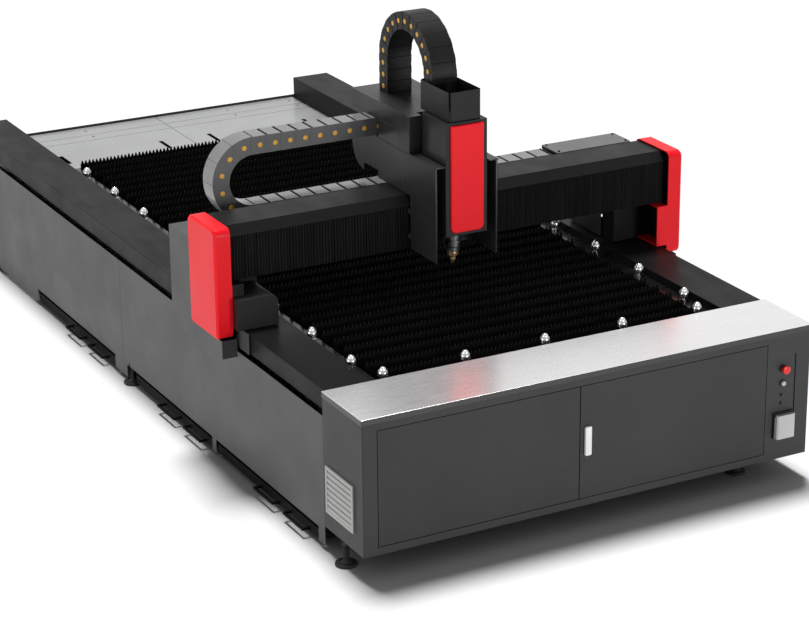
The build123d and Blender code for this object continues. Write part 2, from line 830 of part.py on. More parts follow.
# Folded housings behind the caps, with the skirts that hide the carrying plates
housing_front = 1434
skirt_low_z = 575
skirt_high_z = cap_bottom_z - 4
housings = []
for side in SIDES:
    outer = beside(side, housing_outer_x - sheet, housing_outer_x)
    housings.append(plate(outer, (housing_front, housing_back), (skirt_low_z, housing_top_z)))
    housings.append(plate(outer, (cap_front, housing_front), (skirt_low_z, skirt_high_z)))
    housings.append(
        plate(beside(side, 1079, housing_outer_x - sheet), (cap_front, cap_front + sheet), (skirt_low_z, skirt_high_z))
    )
    inner = beside(side, housing_inner_x, housing_inner_x + sheet)
    housings.append(plate(inner, (beam_back + 3, housing_back), (707, housing_top_z)))
    between = beside(side, housing_inner_x + sheet, housing_outer_x - sheet)
    housings.append(plate(between, (housing_front, housing_back), (housing_top_z - sheet, housing_top_z)))
    housings.append(plate(between, (housing_back - sheet, housing_back), (707, housing_top_z - sheet)))
    housings.append(
        plate(
            beside(side, 1079, housing_outer_x - sheet),
            (housing_back - sheet, housing_back),
            (skirt_low_z, 707),
        )
    )
    housings.append(plate(beside(side, 1064, 1067), (1058, 1196), (truck_z + truck_thickness, 704)))
save("end_housings", *housings)

# Dark box over the left foot of the gantry
with BuildPart() as foot_box:
    block((-1094, -902), (1105, 1146), (706, 845))
    block((-1036, -902), (1146, 1309), (706, 845))
    inner_corner = foot_box.edges().filter_by(Axis.Y).filter_by(
        lambda edge: abs(edge.center().X + 902) < 1 and abs(edge.center().Z - 845) < 1
    )
    fillet(inner_corner, 40)
save("foot_box", foot_box.part)

# Tray and brackets for the chain behind the beam, and the cable junction box
tray_x = (-1000, 700)
tray_bottom_z = x_chain_low_z - link_height / 2 - 0.3 - sheet
tray_rim = 17
tray_top_z = tray_bottom_z + tray_rim
tray = [
    plate(tray_x, (1495, 1625), (tray_bottom_z, tray_bottom_z + sheet)),
    plate(tray_x, (1495, 1498), (tray_bottom_z + sheet, tray_top_z)),
    plate(tray_x, (1622, 1625), (tray_bottom_z + sheet, tray_top_z)),
    plate(
        (x_chain_fixed_x, x_chain_fixed_x + 6),
        (x_chain_front, x_chain_back),
        (tray_bottom_z + sheet, x_chain_low_z + link_height / 2),
    ),
]
for bracket_x in (-800, -300, 200, 690):
    tray.append(plate((bracket_x, bracket_x + 8), (beam_back, 1625), (tray_bottom_z - 40, tray_bottom_z)))
save("chain_tray", *tray)

with BuildPart() as junction_box:
    block((714, 1105), (1498, 1641), (housing_top_z, 1098))
    chamfer(junction_box.edges().filter_by(Axis.Z), 5)
with BuildPart() as junction_lid:
    block((710, 1109), (1494, 1645), (1098, 1116))
    chamfer(junction_lid.edges().filter_by(Axis.Z), 7)
save("junction_box", junction_box.part, junction_lid.part)

# Carriage frame
side_plate = 8
notch = (1488, 1622)
notch_top_z = 1180
corner_radius = 116
carriage_pieces = []
for plate_x in (
    (carriage_left_x, carriage_left_x + side_plate),
    (carriage_right_x - side_plate, carriage_right_x),
):
    carriage_pieces.append(plate(plate_x, (carriage_front, mount_back), (beam_bottom_z, carriage_top_z)))
    with BuildPart() as wing:
        with BuildSketch(Plane.YZ.offset(plate_x[0])):
            with BuildLine():
                Polyline(
                    (back(notch[1]), carriage_gap_z),
                    (back(notch[1]), notch_top_z),
                    (back(notch[0]), notch_top_z),
                    (back(notch[0]), carriage_gap_z),
                    (back(mount_back), carriage_gap_z),
                    (back(mount_back), carriage_top_z),
                    (back(carriage_back), carriage_top_z),
                    (back(carriage_back), carriage_gap_z + corner_radius),
                )
                RadiusArc(
                    (back(carriage_back), carriage_gap_z + corner_radius),
                    (back(notch[1]), carriage_gap_z),
                    corner_radius,
                )
            make_face()
        extrude(amount=side_plate)
    carriage_pieces.append(wing.part)
inside_x = (carriage_left_x + side_plate, carriage_right_x - side_plate)
carriage_pieces.append(plate(inside_x, (mount_front, mount_back), (beam_bottom_z, carriage_top_z)))
x_pinion_radius = 25
x_pinion_y = beam_back + beam_rack_depth + x_pinion_radius + pinion_gap
with BuildPart() as carriage_floor:
    block(inside_x, (mount_back, 1480), (carriage_gap_z, carriage_gap_z + 12))
    x_pinion_centre = (head_x, back(x_pinion_y))
    bore(Plane.XY.offset(carriage_gap_z), x_pinion_centre, shaft_diameter + 2, 12)
carriage_pieces.append(carriage_floor.part)
carriage_pieces.append(plate(inside_x, (carriage_back - 6, carriage_back), (1264, carriage_top_z)))
save("carriage_frame", *carriage_pieces)

top_plate_front = 946
unit_gap = 7
top_plates = [
    plate(
        (carriage_left_x, unit_left_x - unit_gap),
        (top_plate_front, mount_front),
        (carriage_top_z, carriage_top_z + 6),
    ),
    plate(
        (unit_right_x + unit_gap, carriage_right_x),
        (top_plate_front, mount_front),
        (carriage_top_z, carriage_top_z + 6),
    ),
    plate(
        (carriage_left_x, carriage_right_x),
        (mount_front, carriage_back),
        (carriage_top_z, carriage_top_z + 6),
    ),
]
save("carriage_top_plate", *top_plates)

# Upper box with the riser under it. A recess lets the hood and its chain pass.
upper_top_z = z_chain_foot_z
upper_low_z = 1420
recess_x = (-160, 18)
recess_back = 1240
riser_back = 1480
upper_box = []
for low_z, high_z, rear in (
    (carriage_top_z + 6, upper_low_z, riser_back),
    (upper_low_z, upper_top_z, 1735),
):
    for box_x in ((carriage_left_x, recess_x[0]), (recess_x[1], carriage_right_x)):
        upper_box.append(plate(box_x, (1190, recess_back), (low_z, high_z)))
    upper_box.append(plate((carriage_left_x, carriage_right_x), (recess_back, rear), (low_z, high_z)))
upper_box.append(
    plate(
        (x_chain_end_x, x_chain_end_x + 6),
        (x_chain_front, x_chain_back),
        (carriage_top_z + 6, upper_low_z),
    )
)
save("carriage_upper_box", *upper_box)

# Guide blocks behind the carriage, running on the beam rails
beam_blocks = []
for z in beam_rail_z:
    for start_x in (-205, -27):
        with BuildPart() as beam_block:
            block((start_x, start_x + 90), (mount_back, 1234), (z - 26, z + 26))
            block(
                (start_x - 1, start_x + 91),
                (beam_front - beam_rail_depth - rail_clearance, 1240),
                (z - beam_rail_half - rail_clearance, z + beam_rail_half + rail_clearance),
                Mode.SUBTRACT,
            )
        beam_blocks.append(beam_block.part)
save("carriage_guide_blocks", *beam_blocks)

# Carriage motors and the pinion on the beam rack
z_screw_y = 1150
z_motor_z = (1336, 1386)
x_motor_half = 30
x_motor_z = (1158, 1312)
z_motor_half = 26
z_screw_centre = (head_x, back(z_screw_y))
z_journal_diameter = 12
z_journal_top_z = 1352
with BuildPart() as x_motor:
    block(
        (head_x - x_motor_half, head_x + x_motor_half),
        (x_pinion_y - x_motor_half, x_pinion_y + x_motor_half),
        x_motor_z,
    )
    bore(Plane.XY.offset(x_motor_z[0]), x_pinion_centre, shaft_diameter + shaft_play, 80)
with BuildPart() as z_motor:
    block(
        (head_x - z_motor_half, head_x + z_motor_half),
        (z_screw_y + 4 - z_motor_half, z_screw_y + 4 + z_motor_half),
        z_motor_z,
    )
    bore(Plane.XY.offset(z_motor_z[0]), z_screw_centre, z_journal_diameter + shaft_play, 20)
save("carriage_motors", x_motor.part, z_motor.part)

x_pinion_z = (1107, 1133)
x_pinion_shaft_top_z = 1215
with BuildPart() as carriage_pinion:
    toothed_wheel(head_x, x_pinion_y, x_pinion_z[0], x_pinion_radius, x_pinion_z[1] - x_pinion_z[0])
    pin(Plane.XY.offset(x_pinion_z[1]), x_pinion_centre, shaft_diameter, x_pinion_shaft_top_z - x_pinion_z[1])
save("carriage_pinion", carriage_pinion.part)

# Upright rails and screw for the cutting unit
z_rail_x = (head_x - 60, head_x + 60)
z_rail_half = 9
z_rail_depth = 18
z_rails = [
    plate((x - z_rail_half, x + z_rail_half), (mount_front - z_rail_depth, mount_front), (915, 1325))
    for x in z_rail_x
]
save("lift_rails", *z_rails)

screw_z = (925, 1325)
with BuildPart() as lift_screw:
    pin(Plane.XY.offset(screw_z[0]), z_screw_centre, shaft_diameter, screw_z[1] - screw_z[0])
    pin(Plane.XY.offset(screw_z[1]), z_screw_centre, z_journal_diameter, z_journal_top_z - screw_z[1])
save("lift_screw", lift_screw.part)

# Cutting unit: housing, blocks and nut that ride on the rails
unit_wall = 8
carrier_y = (1118, 1132)
unit_inside_x = (unit_left_x + unit_wall, unit_right_x - unit_wall)
head_hole_radius = 38
unit = [
    plate((unit_left_x, unit_left_x + unit_wall), (carriage_front, 1165), (unit_bottom_z, unit_top_z)),
    plate((unit_right_x - unit_wall, unit_right_x), (carriage_front, 1165), (unit_bottom_z, unit_top_z)),
    plate(unit_inside_x, (carriage_front, carriage_front + unit_wall), (unit_bottom_z, unit_top_z)),
    plate(unit_inside_x, (carriage_front + unit_wall, 1165), (unit_top_z - unit_wall, unit_top_z)),
    plate(unit_inside_x, carrier_y, (unit_bottom_z, 1300)),
]
with BuildPart() as unit_floor:
    block(unit_inside_x, (carriage_front + unit_wall, carrier_y[0]), (unit_bottom_z, unit_bottom_z + unit_wall))
    with Locations((head_x, back(head_centre - 14), unit_bottom_z)):
        Cylinder(28, 30, mode=Mode.SUBTRACT)
unit.append(unit_floor.part)
for x in z_rail_x:
    for low_z in (1060, 1220):
        with BuildPart() as lift_block:
            block((x - 20, x + 20), (carrier_y[1], 1160), (low_z, low_z + 60))
            block(
                (x - z_rail_half - rail_clearance, x + z_rail_half + rail_clearance),
                (mount_front - z_rail_depth - rail_clearance, 1170),
                (low_z - 1, low_z + 61),
                Mode.SUBTRACT,
            )
        unit.append(lift_block.part)
nut_z = (1150, 1200)
with BuildPart() as lift_nut:
    block((head_x - 22, head_x + 22), (carrier_y[1], 1164), nut_z)
    nut_bore = shaft_diameter + 0.8
    bore(Plane.XY.offset(nut_z[0]), z_screw_centre, nut_bore, nut_z[1] - nut_z[0])
save("lift_frame", *unit, lift_nut.part)

# Red front cover of the cutting unit
cover_x = (-151, 9)
cover_z = (1030, 1510)
cover_depth = 12
with BuildPart() as head_cover:
    block(cover_x, (carriage_front - cover_depth, carriage_front), cover_z)
    lower_corners = head_cover.edges().filter_by(Axis.Y).sort_by(Axis.Z)[:2]
    fillet(lower_corners, 26)
    upper_corners = head_cover.edges().filter_by(Axis.Y).sort_by(Axis.Z)[-2:]
    fillet(upper_corners, 6)
    chamfer(head_cover.faces().sort_by(Axis.Y)[0].edges(), 4)
save("head_cover", head_cover.part)

# Hood on top of the cutting unit, which the upright chain drops into
hood_x = (-150, 8)
hood_y = (965, 1232)
hood_z = (unit_top_z, 1650)
hood_wall = 4
with BuildPart() as hood:
    block(hood_x, hood_y, hood_z)
    chamfer(hood.edges().filter_by(Axis.Z), 12)
    block(
        (hood_x[0] + hood_wall, hood_x[1] - hood_wall),
        (hood_y[0] + hood_wall, hood_y[1] - hood_wall),
        (hood_z[0] + hood_wall, hood_z[1] + 1),
        Mode.SUBTRACT,
    )
save("hood", hood.part)

# Cutting head: a turned body and its nozzle
head_radius = 37.5
with BuildPart() as cutting_head:
    with BuildSketch(Plane.XZ.offset(-back(head_centre - 14))):
        with BuildLine():
            Polyline(
                (head_x, 905),
                (head_x + head_radius, 905),
                (head_x + head_radius, unit_bottom_z - 1),
                (head_x + 27, unit_bottom_z - 1),
                (head_x + 27, 1115),
                (head_x, 1115),
                close=True,
            )
        make_face()
    revolve(axis=Axis((head_x, back(head_centre - 14), 0), (0, 0, 1)))
head_bracket = plate((head_x - 20, head_x + 20), (head_centre + 13, carrier_y[0]), (1040, 1100))
save("cutting_head", cutting_head.part, head_bracket)

with BuildPart() as nozzle:
    with BuildSketch(Plane.XZ.offset(-back(head_centre - 14))):
        with BuildLine():
            Polyline(
                (head_x, nozzle_tip_z),
                (head_x + 5, nozzle_tip_z),
                (head_x + 24, nozzle_tip_z + 42),
                (head_x + 24, 905),
                (head_x, 905),
                close=True,
            )
        make_face()
    revolve(axis=Axis((head_x, back(head_centre - 14), 0), (0, 0, 1)))
save("nozzle", nozzle.part)

# Cable chains: straight runs of hollow links and half-circle bends of wedge links
link_gap = 0.3


def run_x(start_x, end_x, centre_z, count):
    """Makes the links of a level run between two X values."""
    pitch = (end_x - start_x) / count
    with BuildPart() as run:
        for index in range(count):
            x = (start_x + index * pitch + link_gap / 2, start_x + (index + 1) * pitch - link_gap / 2)
            block(x, (x_chain_front, x_chain_back), (centre_z - link_height / 2, centre_z + link_height / 2))
        inside = link_height / 2 - link_wall
        block(
            (start_x, end_x),
            (x_chain_front + link_wall, x_chain_back - link_wall),
            (centre_z - inside, centre_z + inside),
            Mode.SUBTRACT,
        )
    return run.part


def run_z(low_z, high_z, centre_y, count):
    """Makes the links of an upright run between two heights."""
    pitch = (high_z - low_z) / count
    half = z_chain_width / 2
    with BuildPart() as run:
        for index in range(count):
            z = (low_z + index * pitch + link_gap / 2, low_z + (index + 1) * pitch - link_gap / 2)
            block((head_x - half, head_x + half), (centre_y - link_height / 2, centre_y + link_height / 2), z)
        inside = link_height / 2 - link_wall
        block(
            (head_x - half + link_wall, head_x + half - link_wall),
            (centre_y - inside, centre_y + inside),
            (low_z, high_z),
            Mode.SUBTRACT,
        )
    return run.part


def wedge(start, end, inner, outer):
    """Gives the corners of a straight-sided link between two angles, in radians."""
    return [(reach * cos(angle), reach * sin(angle)) for angle, reach in (
        (start, inner), (start, outer), (end, outer), (end, inner)
    )]


def bend(plane, radius, width, first_angle, count):
    """Makes the wedge links of a half circle that starts at the given angle on the plane."""
    step = pi / count
    gap_angle = link_gap / radius
    outer = radius + link_height / 2
    inner = radius - link_height / 2
    with BuildPart() as arc:
        with BuildSketch(plane):
            for index in range(count):
                start = first_angle + index * step
                with BuildLine():
                    Polyline(*wedge(start + gap_angle / 2, start + step - gap_angle / 2, inner, outer), close=True)
                make_face()
        extrude(amount=width / 2, both=True)
        with BuildSketch(plane):
            for index in range(count):
                start = first_angle + index * step
                with BuildLine():
                    Polyline(*wedge(start, start + step, inner + link_wall, outer - link_wall), close=True)
                make_face()
        extrude(amount=width / 2 - link_wall, both=True, mode=Mode.SUBTRACT)
    return arc.part


link_pitch = 75
x_bend_radius = (x_chain_high_z - x_chain_low_z) / 2
x_chain_middle = (x_chain_front + x_chain_back) / 2
x_bend_plane = Plane(
    origin=(x_chain_bend_x, back(x_chain_middle), x_chain_low_z + x_bend_radius),
    x_dir=(1, 0, 0),
    z_dir=(0, -1, 0),
)
save(
    "x_chain_upper",
    run_x(x_chain_bend_x, x_chain_end_x, x_chain_high_z, round((x_chain_end_x - x_chain_bend_x) / link_pitch)),
)
save(
    "x_chain_lower",
    run_x(x_chain_bend_x, x_chain_fixed_x, x_chain_low_z, round((x_chain_fixed_x - x_chain_bend_x) / link_pitch)),
)
save("x_chain_bend", bend(x_bend_plane, x_bend_radius, x_chain_back - x_chain_front, pi / 2, 6))

z_bend_radius = (z_chain_rear - z_chain_front) / 2
z_bend_plane = Plane(
    origin=(head_x, back(z_chain_front + z_bend_radius), z_chain_bend_z),
    x_dir=(0, 1, 0),
    z_dir=(1, 0, 0),
)
save("z_chain_front", run_z(z_chain_hood_z, z_chain_bend_z, z_chain_front, 2))
save("z_chain_rear", run_z(z_chain_foot_z, z_chain_bend_z, z_chain_rear, 3))
save("z_chain_bend", bend(z_bend_plane, z_bend_radius, z_chain_width, 0, 11))
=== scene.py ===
"""Looks of the open-bed laser cutting machine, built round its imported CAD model."""

import json
import logging
import math
from collections.abc import Callable, Iterable, Sequence
from dataclasses import dataclass, field
from enum import Enum
from typing import Any

import bmesh
import bpy
from mathutils import Matrix, Vector

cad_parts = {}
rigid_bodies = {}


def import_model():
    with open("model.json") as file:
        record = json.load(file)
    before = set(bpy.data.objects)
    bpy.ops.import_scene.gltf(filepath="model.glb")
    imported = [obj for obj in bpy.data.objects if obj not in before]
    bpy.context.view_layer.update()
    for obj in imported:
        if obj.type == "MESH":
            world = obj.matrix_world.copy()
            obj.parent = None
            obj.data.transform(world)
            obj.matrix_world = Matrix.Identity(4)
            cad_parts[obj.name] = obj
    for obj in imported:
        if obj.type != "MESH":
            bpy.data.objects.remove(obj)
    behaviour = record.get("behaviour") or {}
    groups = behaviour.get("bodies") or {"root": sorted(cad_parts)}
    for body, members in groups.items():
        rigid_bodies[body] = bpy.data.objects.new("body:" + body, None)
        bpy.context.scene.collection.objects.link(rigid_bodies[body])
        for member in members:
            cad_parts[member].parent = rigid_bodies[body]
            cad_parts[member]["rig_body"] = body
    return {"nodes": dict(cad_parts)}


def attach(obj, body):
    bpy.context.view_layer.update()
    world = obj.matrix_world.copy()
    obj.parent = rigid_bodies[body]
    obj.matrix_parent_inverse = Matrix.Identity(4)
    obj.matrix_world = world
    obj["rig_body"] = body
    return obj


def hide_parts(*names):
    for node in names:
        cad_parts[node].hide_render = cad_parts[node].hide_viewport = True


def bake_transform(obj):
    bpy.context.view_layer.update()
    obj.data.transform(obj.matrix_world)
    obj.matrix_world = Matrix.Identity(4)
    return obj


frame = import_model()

log = logging.getLogger("machine")

Shape = bmesh.types.BMesh
Piece = bpy.types.Object
Pair = tuple[float, float]
Point = tuple[float, float, float]
Colour = tuple[float, float, float]
Outline = Sequence[Pair]

CABINET_FRONT_Y = -2.302
SEED = 7
QUARTER = math.pi / 2
FLAT_SHARE = 8.0  # A face this many times larger than its curved neighbours is flat
SOFT_ANGLE = 32.0  # Edges that turn less than this are shaded smooth, in degrees
SHARP_ANGLE = 30.0  # Edges that turn more than this are eased, in degrees
SAME_PLANE = 0.6  # CAD triangles that turn less than this are one face, in degrees


def behind(distance: float) -> float:
    """Gives the Y of a point this far behind the cabinet's front face."""
    return CABINET_FRONT_Y + distance


def shade(colour: Colour, factor: float) -> Colour:
    """Gives a colour made lighter or darker."""
    return tuple(min(1.0, channel * factor) for channel in colour)


class Axis(Enum):
    """A direction that a finish or a turned form runs along."""

    X = (1.0, 0.0, 0.0)
    Y = (0.0, 1.0, 0.0)
    Z = (0.0, 0.0, 1.0)


class Wiring:
    """Adds nodes to one node tree and links them."""

    def __init__(self, tree: Any) -> None:
        """Takes the tree that the nodes go to."""
        self.tree = tree

    def add(self, kind: str, **settings: Any) -> Any:
        """Adds a node and sets its properties.

        Args:
            kind: The node's type.
            **settings: Its properties.

        Returns:
            The node.
        """
        node = self.tree.nodes.new(kind)
        for key, value in settings.items():
            setattr(node, key, value)
        return node

    def join(self, start: Any, end: Any) -> None:
        """Links two sockets."""
        self.tree.links.new(start, end)


# --------------------------------------------------------------------------------------
# Finishes
# --------------------------------------------------------------------------------------


class Graph(Wiring):
    """Builds the nodes of one material on Object coordinates."""

    def __init__(self, name: str) -> None:
        """Starts a material with one shader.

        Args:
            name: The material's name.
        """
        self.material = bpy.data.materials.new(name)
        self.material.use_nodes = True
        super().__init__(self.material.node_tree)
        self.tree.nodes.clear()
        output = self.add("ShaderNodeOutputMaterial")
        self.shader = self.add("ShaderNodeBsdfPrincipled")
        self.join(self.shader.outputs["BSDF"], output.inputs["Surface"])
        self.place = self.add("ShaderNodeTexCoord").outputs["Object"]
        self.relief: Any = None

    def fix(self, **values: Any) -> None:
        """Sets constants on the shader's own sockets, with underscores for spaces."""
        for key, value in values.items():
            self.shader.inputs[key.replace("_", " ")].default_value = value

    def feed(self, **sockets: Any) -> None:
        """Links sockets to the shader's own, with underscores for spaces."""
        for key, socket in sockets.items():
            self.join(socket, self.shader.inputs[key.replace("_", " ")])

    def noise(self, scale: float, detail: float = 3.0, stretch: Point = (1, 1, 1)) -> Any:
        """Gives a noise value between 0 and 1, stretched per axis.

        Args:
            scale: How fine it is.
            detail: How many octaves it has.
            stretch: A factor for each axis.

        Returns:
            The value's socket.
        """
        mapping = self.add("ShaderNodeMapping")
        mapping.inputs["Scale"].default_value = stretch
        self.join(self.place, mapping.inputs["Vector"])
        node = self.add("ShaderNodeTexNoise")
        node.inputs["Scale"].default_value = scale
        node.inputs["Detail"].default_value = detail
        self.join(mapping.outputs["Vector"], node.inputs["Vector"])
        return node.outputs["Fac"]

    def spread(
        self, value: Any, low: float, high: float, start: float = 0.3, end: float = 0.7
    ) -> Any:
        """Maps a value from start..end to low..high, clamped.

        Args:
            value: The value's socket.
            low: What the start becomes.
            high: What the end becomes.
            start: Where the range starts.
            end: Where the range ends.

        Returns:
            The result's socket.
        """
        node = self.add("ShaderNodeMapRange")
        limits = (("From Min", start), ("From Max", end), ("To Min", low), ("To Max", high))
        for key, number in limits:
            node.inputs[key].default_value = number
        self.join(value, node.inputs["Value"])
        return node.outputs["Result"]

    def tint(self, share: Any, first: Any, second: Any) -> Any:
        """Mixes two colours, or colour sockets, by a share.

        Args:
            share: The socket of the second colour's share.
            first: A colour or a socket.
            second: A colour or a socket.

        Returns:
            The colour's socket.
        """
        node = self.add("ShaderNodeMix", data_type="RGBA")
        self.join(share, node.inputs[0])
        for slot, colour in ((6, first), (7, second)):
            if isinstance(colour, tuple):
                node.inputs[slot].default_value = (*colour, 1.0)
            else:
                self.join(colour, node.inputs[slot])
        return node.outputs[2]

    def height(self, value: Any, distance: float, strength: float) -> None:
        """Adds one layer of bump over those before it.

        Args:
            value: The height's socket.
            distance: How far it stands out, in metres.
            strength: How much of it shows.
        """
        node = self.add("ShaderNodeBump")
        node.inputs["Distance"].default_value = distance
        node.inputs["Strength"].default_value = strength
        self.join(value, node.inputs["Height"])
        if self.relief is not None:
            self.join(self.relief, node.inputs["Normal"])
        self.relief = node.outputs["Normal"]
        self.feed(Normal=self.relief)

    def math(self, operation: str, first: Any, second: Any = 0.0) -> Any:
        """Gives one arithmetic step on sockets or numbers.

        Args:
            operation: The node's name for the step.
            first: A socket or a number.
            second: A socket or a number.

        Returns:
            The result's socket.
        """
        node = self.add("ShaderNodeMath", operation=operation)
        for slot, value in enumerate((first, second)):
            if isinstance(value, (int, float)):
                node.inputs[slot].default_value = value
            else:
                self.join(value, node.inputs[slot])
        return node.outputs[0]

    def along(self, axis: Axis) -> Any:
        """Gives the object coordinate along one axis.

        Args:
            axis: The axis.

        Returns:
            The coordinate's socket.
        """
        node = self.add("ShaderNodeSeparateXYZ")
        self.join(self.place, node.inputs[0])
        return node.outputs[axis.name]


@dataclass(frozen=True)
class PowderCoat:
    """Baked powder paint: fine orange peel, slow drift of tone, faint dust and wipe marks."""

    colour: Colour
    roughness: float = 0.42
    gloss: float = 0.22
    drift: float = 0.10
    dust: float = 0.06
    peel: float = 0.00012
    painted_shade_from: float = 0.0
    painted_shade_to: float = 0.0

    def build(self, name: str) -> bpy.types.Material:
        """Builds the material, with painted shade (black) between two X where that is asked for.

        Args:
            name: The material's name.

        Returns:
            The material.
        """
        graph = Graph(name)
        drift = graph.spread(graph.noise(1.7, 4), 0, 1)
        paint = graph.tint(
            drift, shade(self.colour, 1 - self.drift), shade(self.colour, 1 + self.drift)
        )
        flecks = graph.spread(graph.noise(420, 2), 0, 0.35, 0.55, 0.75)
        paint = graph.tint(flecks, paint, shade(self.colour, 1.35))
        dust = graph.spread(graph.noise(9, 6, (1, 1, 2.5)), 0, self.dust, 0.52, 0.72)
        paint = graph.tint(dust, paint, shade(self.colour, 2.1))
        # Painted shade: between the two X the colour turns black.
        if self.painted_shade_to != self.painted_shade_from:
            across = graph.along(Axis.X)
            after = graph.math("GREATER_THAN", across, self.painted_shade_from)
            before = graph.math("LESS_THAN", across, self.painted_shade_to)
            paint = graph.tint(graph.math("MULTIPLY", after, before), paint, (0.008,) * 3)
        wipe = graph.noise(5, 5, (2.5, 1, 1))
        rough = graph.spread(wipe, self.roughness - 0.06, self.roughness + 0.08)
        graph.feed(Base_Color=paint, Roughness=rough)
        graph.height(graph.noise(160, 2), self.peel, 0.55)
        graph.height(graph.noise(900, 1), self.peel * 0.5, 0.35)
        graph.fix(Specular_IOR_Level=self.gloss)
        return graph.material


@dataclass(frozen=True)
class BrushedSteel:
    """Steel with straight grinding marks along one axis, with painted shade (darkened colour)
    below a height.
    """

    colour: Colour
    roughness: float
    along: Axis
    streak: float
    metallic: float = 1.0
    shaded_below: float = 0.0

    def build(self, name: str) -> bpy.types.Material:
        """Builds the material.

        Args:
            name: The material's name.

        Returns:
            The material.
        """
        graph = Graph(name)
        bands = graph.noise(1, 4, tuple(1.5 if part else 260.0 for part in self.along.value))
        hair = graph.noise(1, 2, tuple(8.0 if part else 1400.0 for part in self.along.value))
        dark, light = 1 - self.streak, 1 + self.streak * 0.6
        steel = graph.tint(
            graph.spread(bands, 0, 1), shade(self.colour, dark), shade(self.colour, light)
        )
        cloud = graph.spread(graph.noise(3.2, 4), 0, 0.35)
        steel = graph.tint(cloud, steel, shade(self.colour, 0.86))
        # Painted shade: below the height the colour drops to 7 %, so the folded lips read darker
        # than the lit top.
        if self.shaded_below > 0:
            lip_shade = graph.math("LESS_THAN", graph.along(Axis.Z), self.shaded_below)
            steel = graph.tint(lip_shade, steel, shade(self.colour, 0.07))
        rough = graph.spread(hair, self.roughness - 0.05, self.roughness + 0.12)
        graph.feed(Base_Color=steel, Roughness=rough)
        graph.height(hair, 0.00006, 0.5)
        graph.fix(Metallic=self.metallic)
        return graph.material


@dataclass(frozen=True)
class BareSteel:
    """Turned, ground or polished steel with small marks in all directions."""

    colour: Colour
    roughness: float
    stained: float = 0.15
    stain: Colour = (0.20, 0.19, 0.18)

    def build(self, name: str) -> bpy.types.Material:
        """Builds the material.

        Args:
            name: The material's name.

        Returns:
            The material.
        """
        graph = Graph(name)
        cloud = graph.spread(graph.noise(30, 5), 0, self.stained, 0.45, 0.75)
        rough = graph.spread(graph.noise(85, 4), self.roughness * 0.7, self.roughness * 1.5)
        graph.feed(Base_Color=graph.tint(cloud, self.colour, self.stain), Roughness=rough)
        graph.height(graph.noise(700, 2), 0.00003, 0.5)
        graph.fix(Metallic=1.0)
        return graph.material


@dataclass(frozen=True)
class CutSteel:
    """Mild-steel slats: dark scale, brown heat marks and slag that thickens at the tips."""

    colour: Colour
    tip_z: float
    heat: Colour = (0.008, 0.0062, 0.0052)
    slag: Colour = (0.012, 0.011, 0.0105)
    slag_reach: float = 0.045

    def build(self, name: str) -> bpy.types.Material:
        """Builds the material.

        Args:
            name: The material's name.

        Returns:
            The material.
        """
        graph = Graph(name)
        scale = graph.noise(26, 6)
        brown = graph.tint(graph.spread(scale, 0, 0.8), self.colour, self.heat)
        height = graph.along(Axis.Z)
        near_tip = graph.spread(height, 0.0, 1.0, self.tip_z - self.slag_reach, self.tip_z)
        drops = graph.spread(graph.noise(300, 3), 0, 1, 0.5, 0.62)
        spatter = graph.math("MULTIPLY", near_tip, drops)
        graph.feed(
            Base_Color=graph.tint(spatter, brown, self.slag),
            Roughness=graph.spread(scale, 0.45, 0.75),
        )
        graph.height(graph.noise(240, 4), 0.0006, 0.6)
        graph.fix(Specular_IOR_Level=0.06)
        return graph.material


@dataclass(frozen=True)
class Moulded:
    """Injection-moulded plastic with a fine spark-eroded grain."""

    colour: Colour
    roughness: float
    grain: float = 0.00008
    gloss: float = 0.35
    coat: float = 0.0

    def build(self, name: str) -> bpy.types.Material:
        """Builds the material.

        Args:
            name: The material's name.

        Returns:
            The material.
        """
        graph = Graph(name)
        tone = graph.spread(graph.noise(6, 4), 0, 1)
        marks = graph.noise(22, 4)
        graph.feed(
            Base_Color=graph.tint(tone, shade(self.colour, 0.92), shade(self.colour, 1.08)),
            Roughness=graph.spread(marks, self.roughness - 0.05, self.roughness + 0.07),
        )
        graph.height(graph.noise(1100, 2), self.grain, 0.5)
        graph.fix(Coat_Weight=self.coat, Coat_Roughness=0.12, Specular_IOR_Level=self.gloss)
        return graph.material


@dataclass(frozen=True)
class CoatedCloth:
    """Heat-proof coated cloth: a tight weave under a dull black skin."""

    colour: Colour
    thread: float = 0.0011

    def build(self, name: str) -> bpy.types.Material:
        """Builds the material.

        Args:
            name: The material's name.

        Returns:
            The material.
        """
        graph = Graph(name)
        turn = 2 * math.pi / self.thread
        warp, weft = (
            graph.math("SINE", graph.math("MULTIPLY", graph.along(axis), turn))
            for axis in (Axis.X, Axis.Z)
        )
        rub = graph.noise(14, 5, (1, 1, 0.3))
        graph.feed(
            Base_Color=graph.tint(graph.spread(rub, 0, 1), self.colour, shade(self.colour, 1.9)),
            Roughness=graph.spread(rub, 0.62, 0.8),
        )
        graph.height(graph.math("MULTIPLY", warp, weft), 0.00012, 0.5)
        graph.height(graph.noise(35, 4), 0.0008, 0.35)
        graph.fix(Sheen_Weight=0.03, Specular_IOR_Level=0.15)
        return graph.material


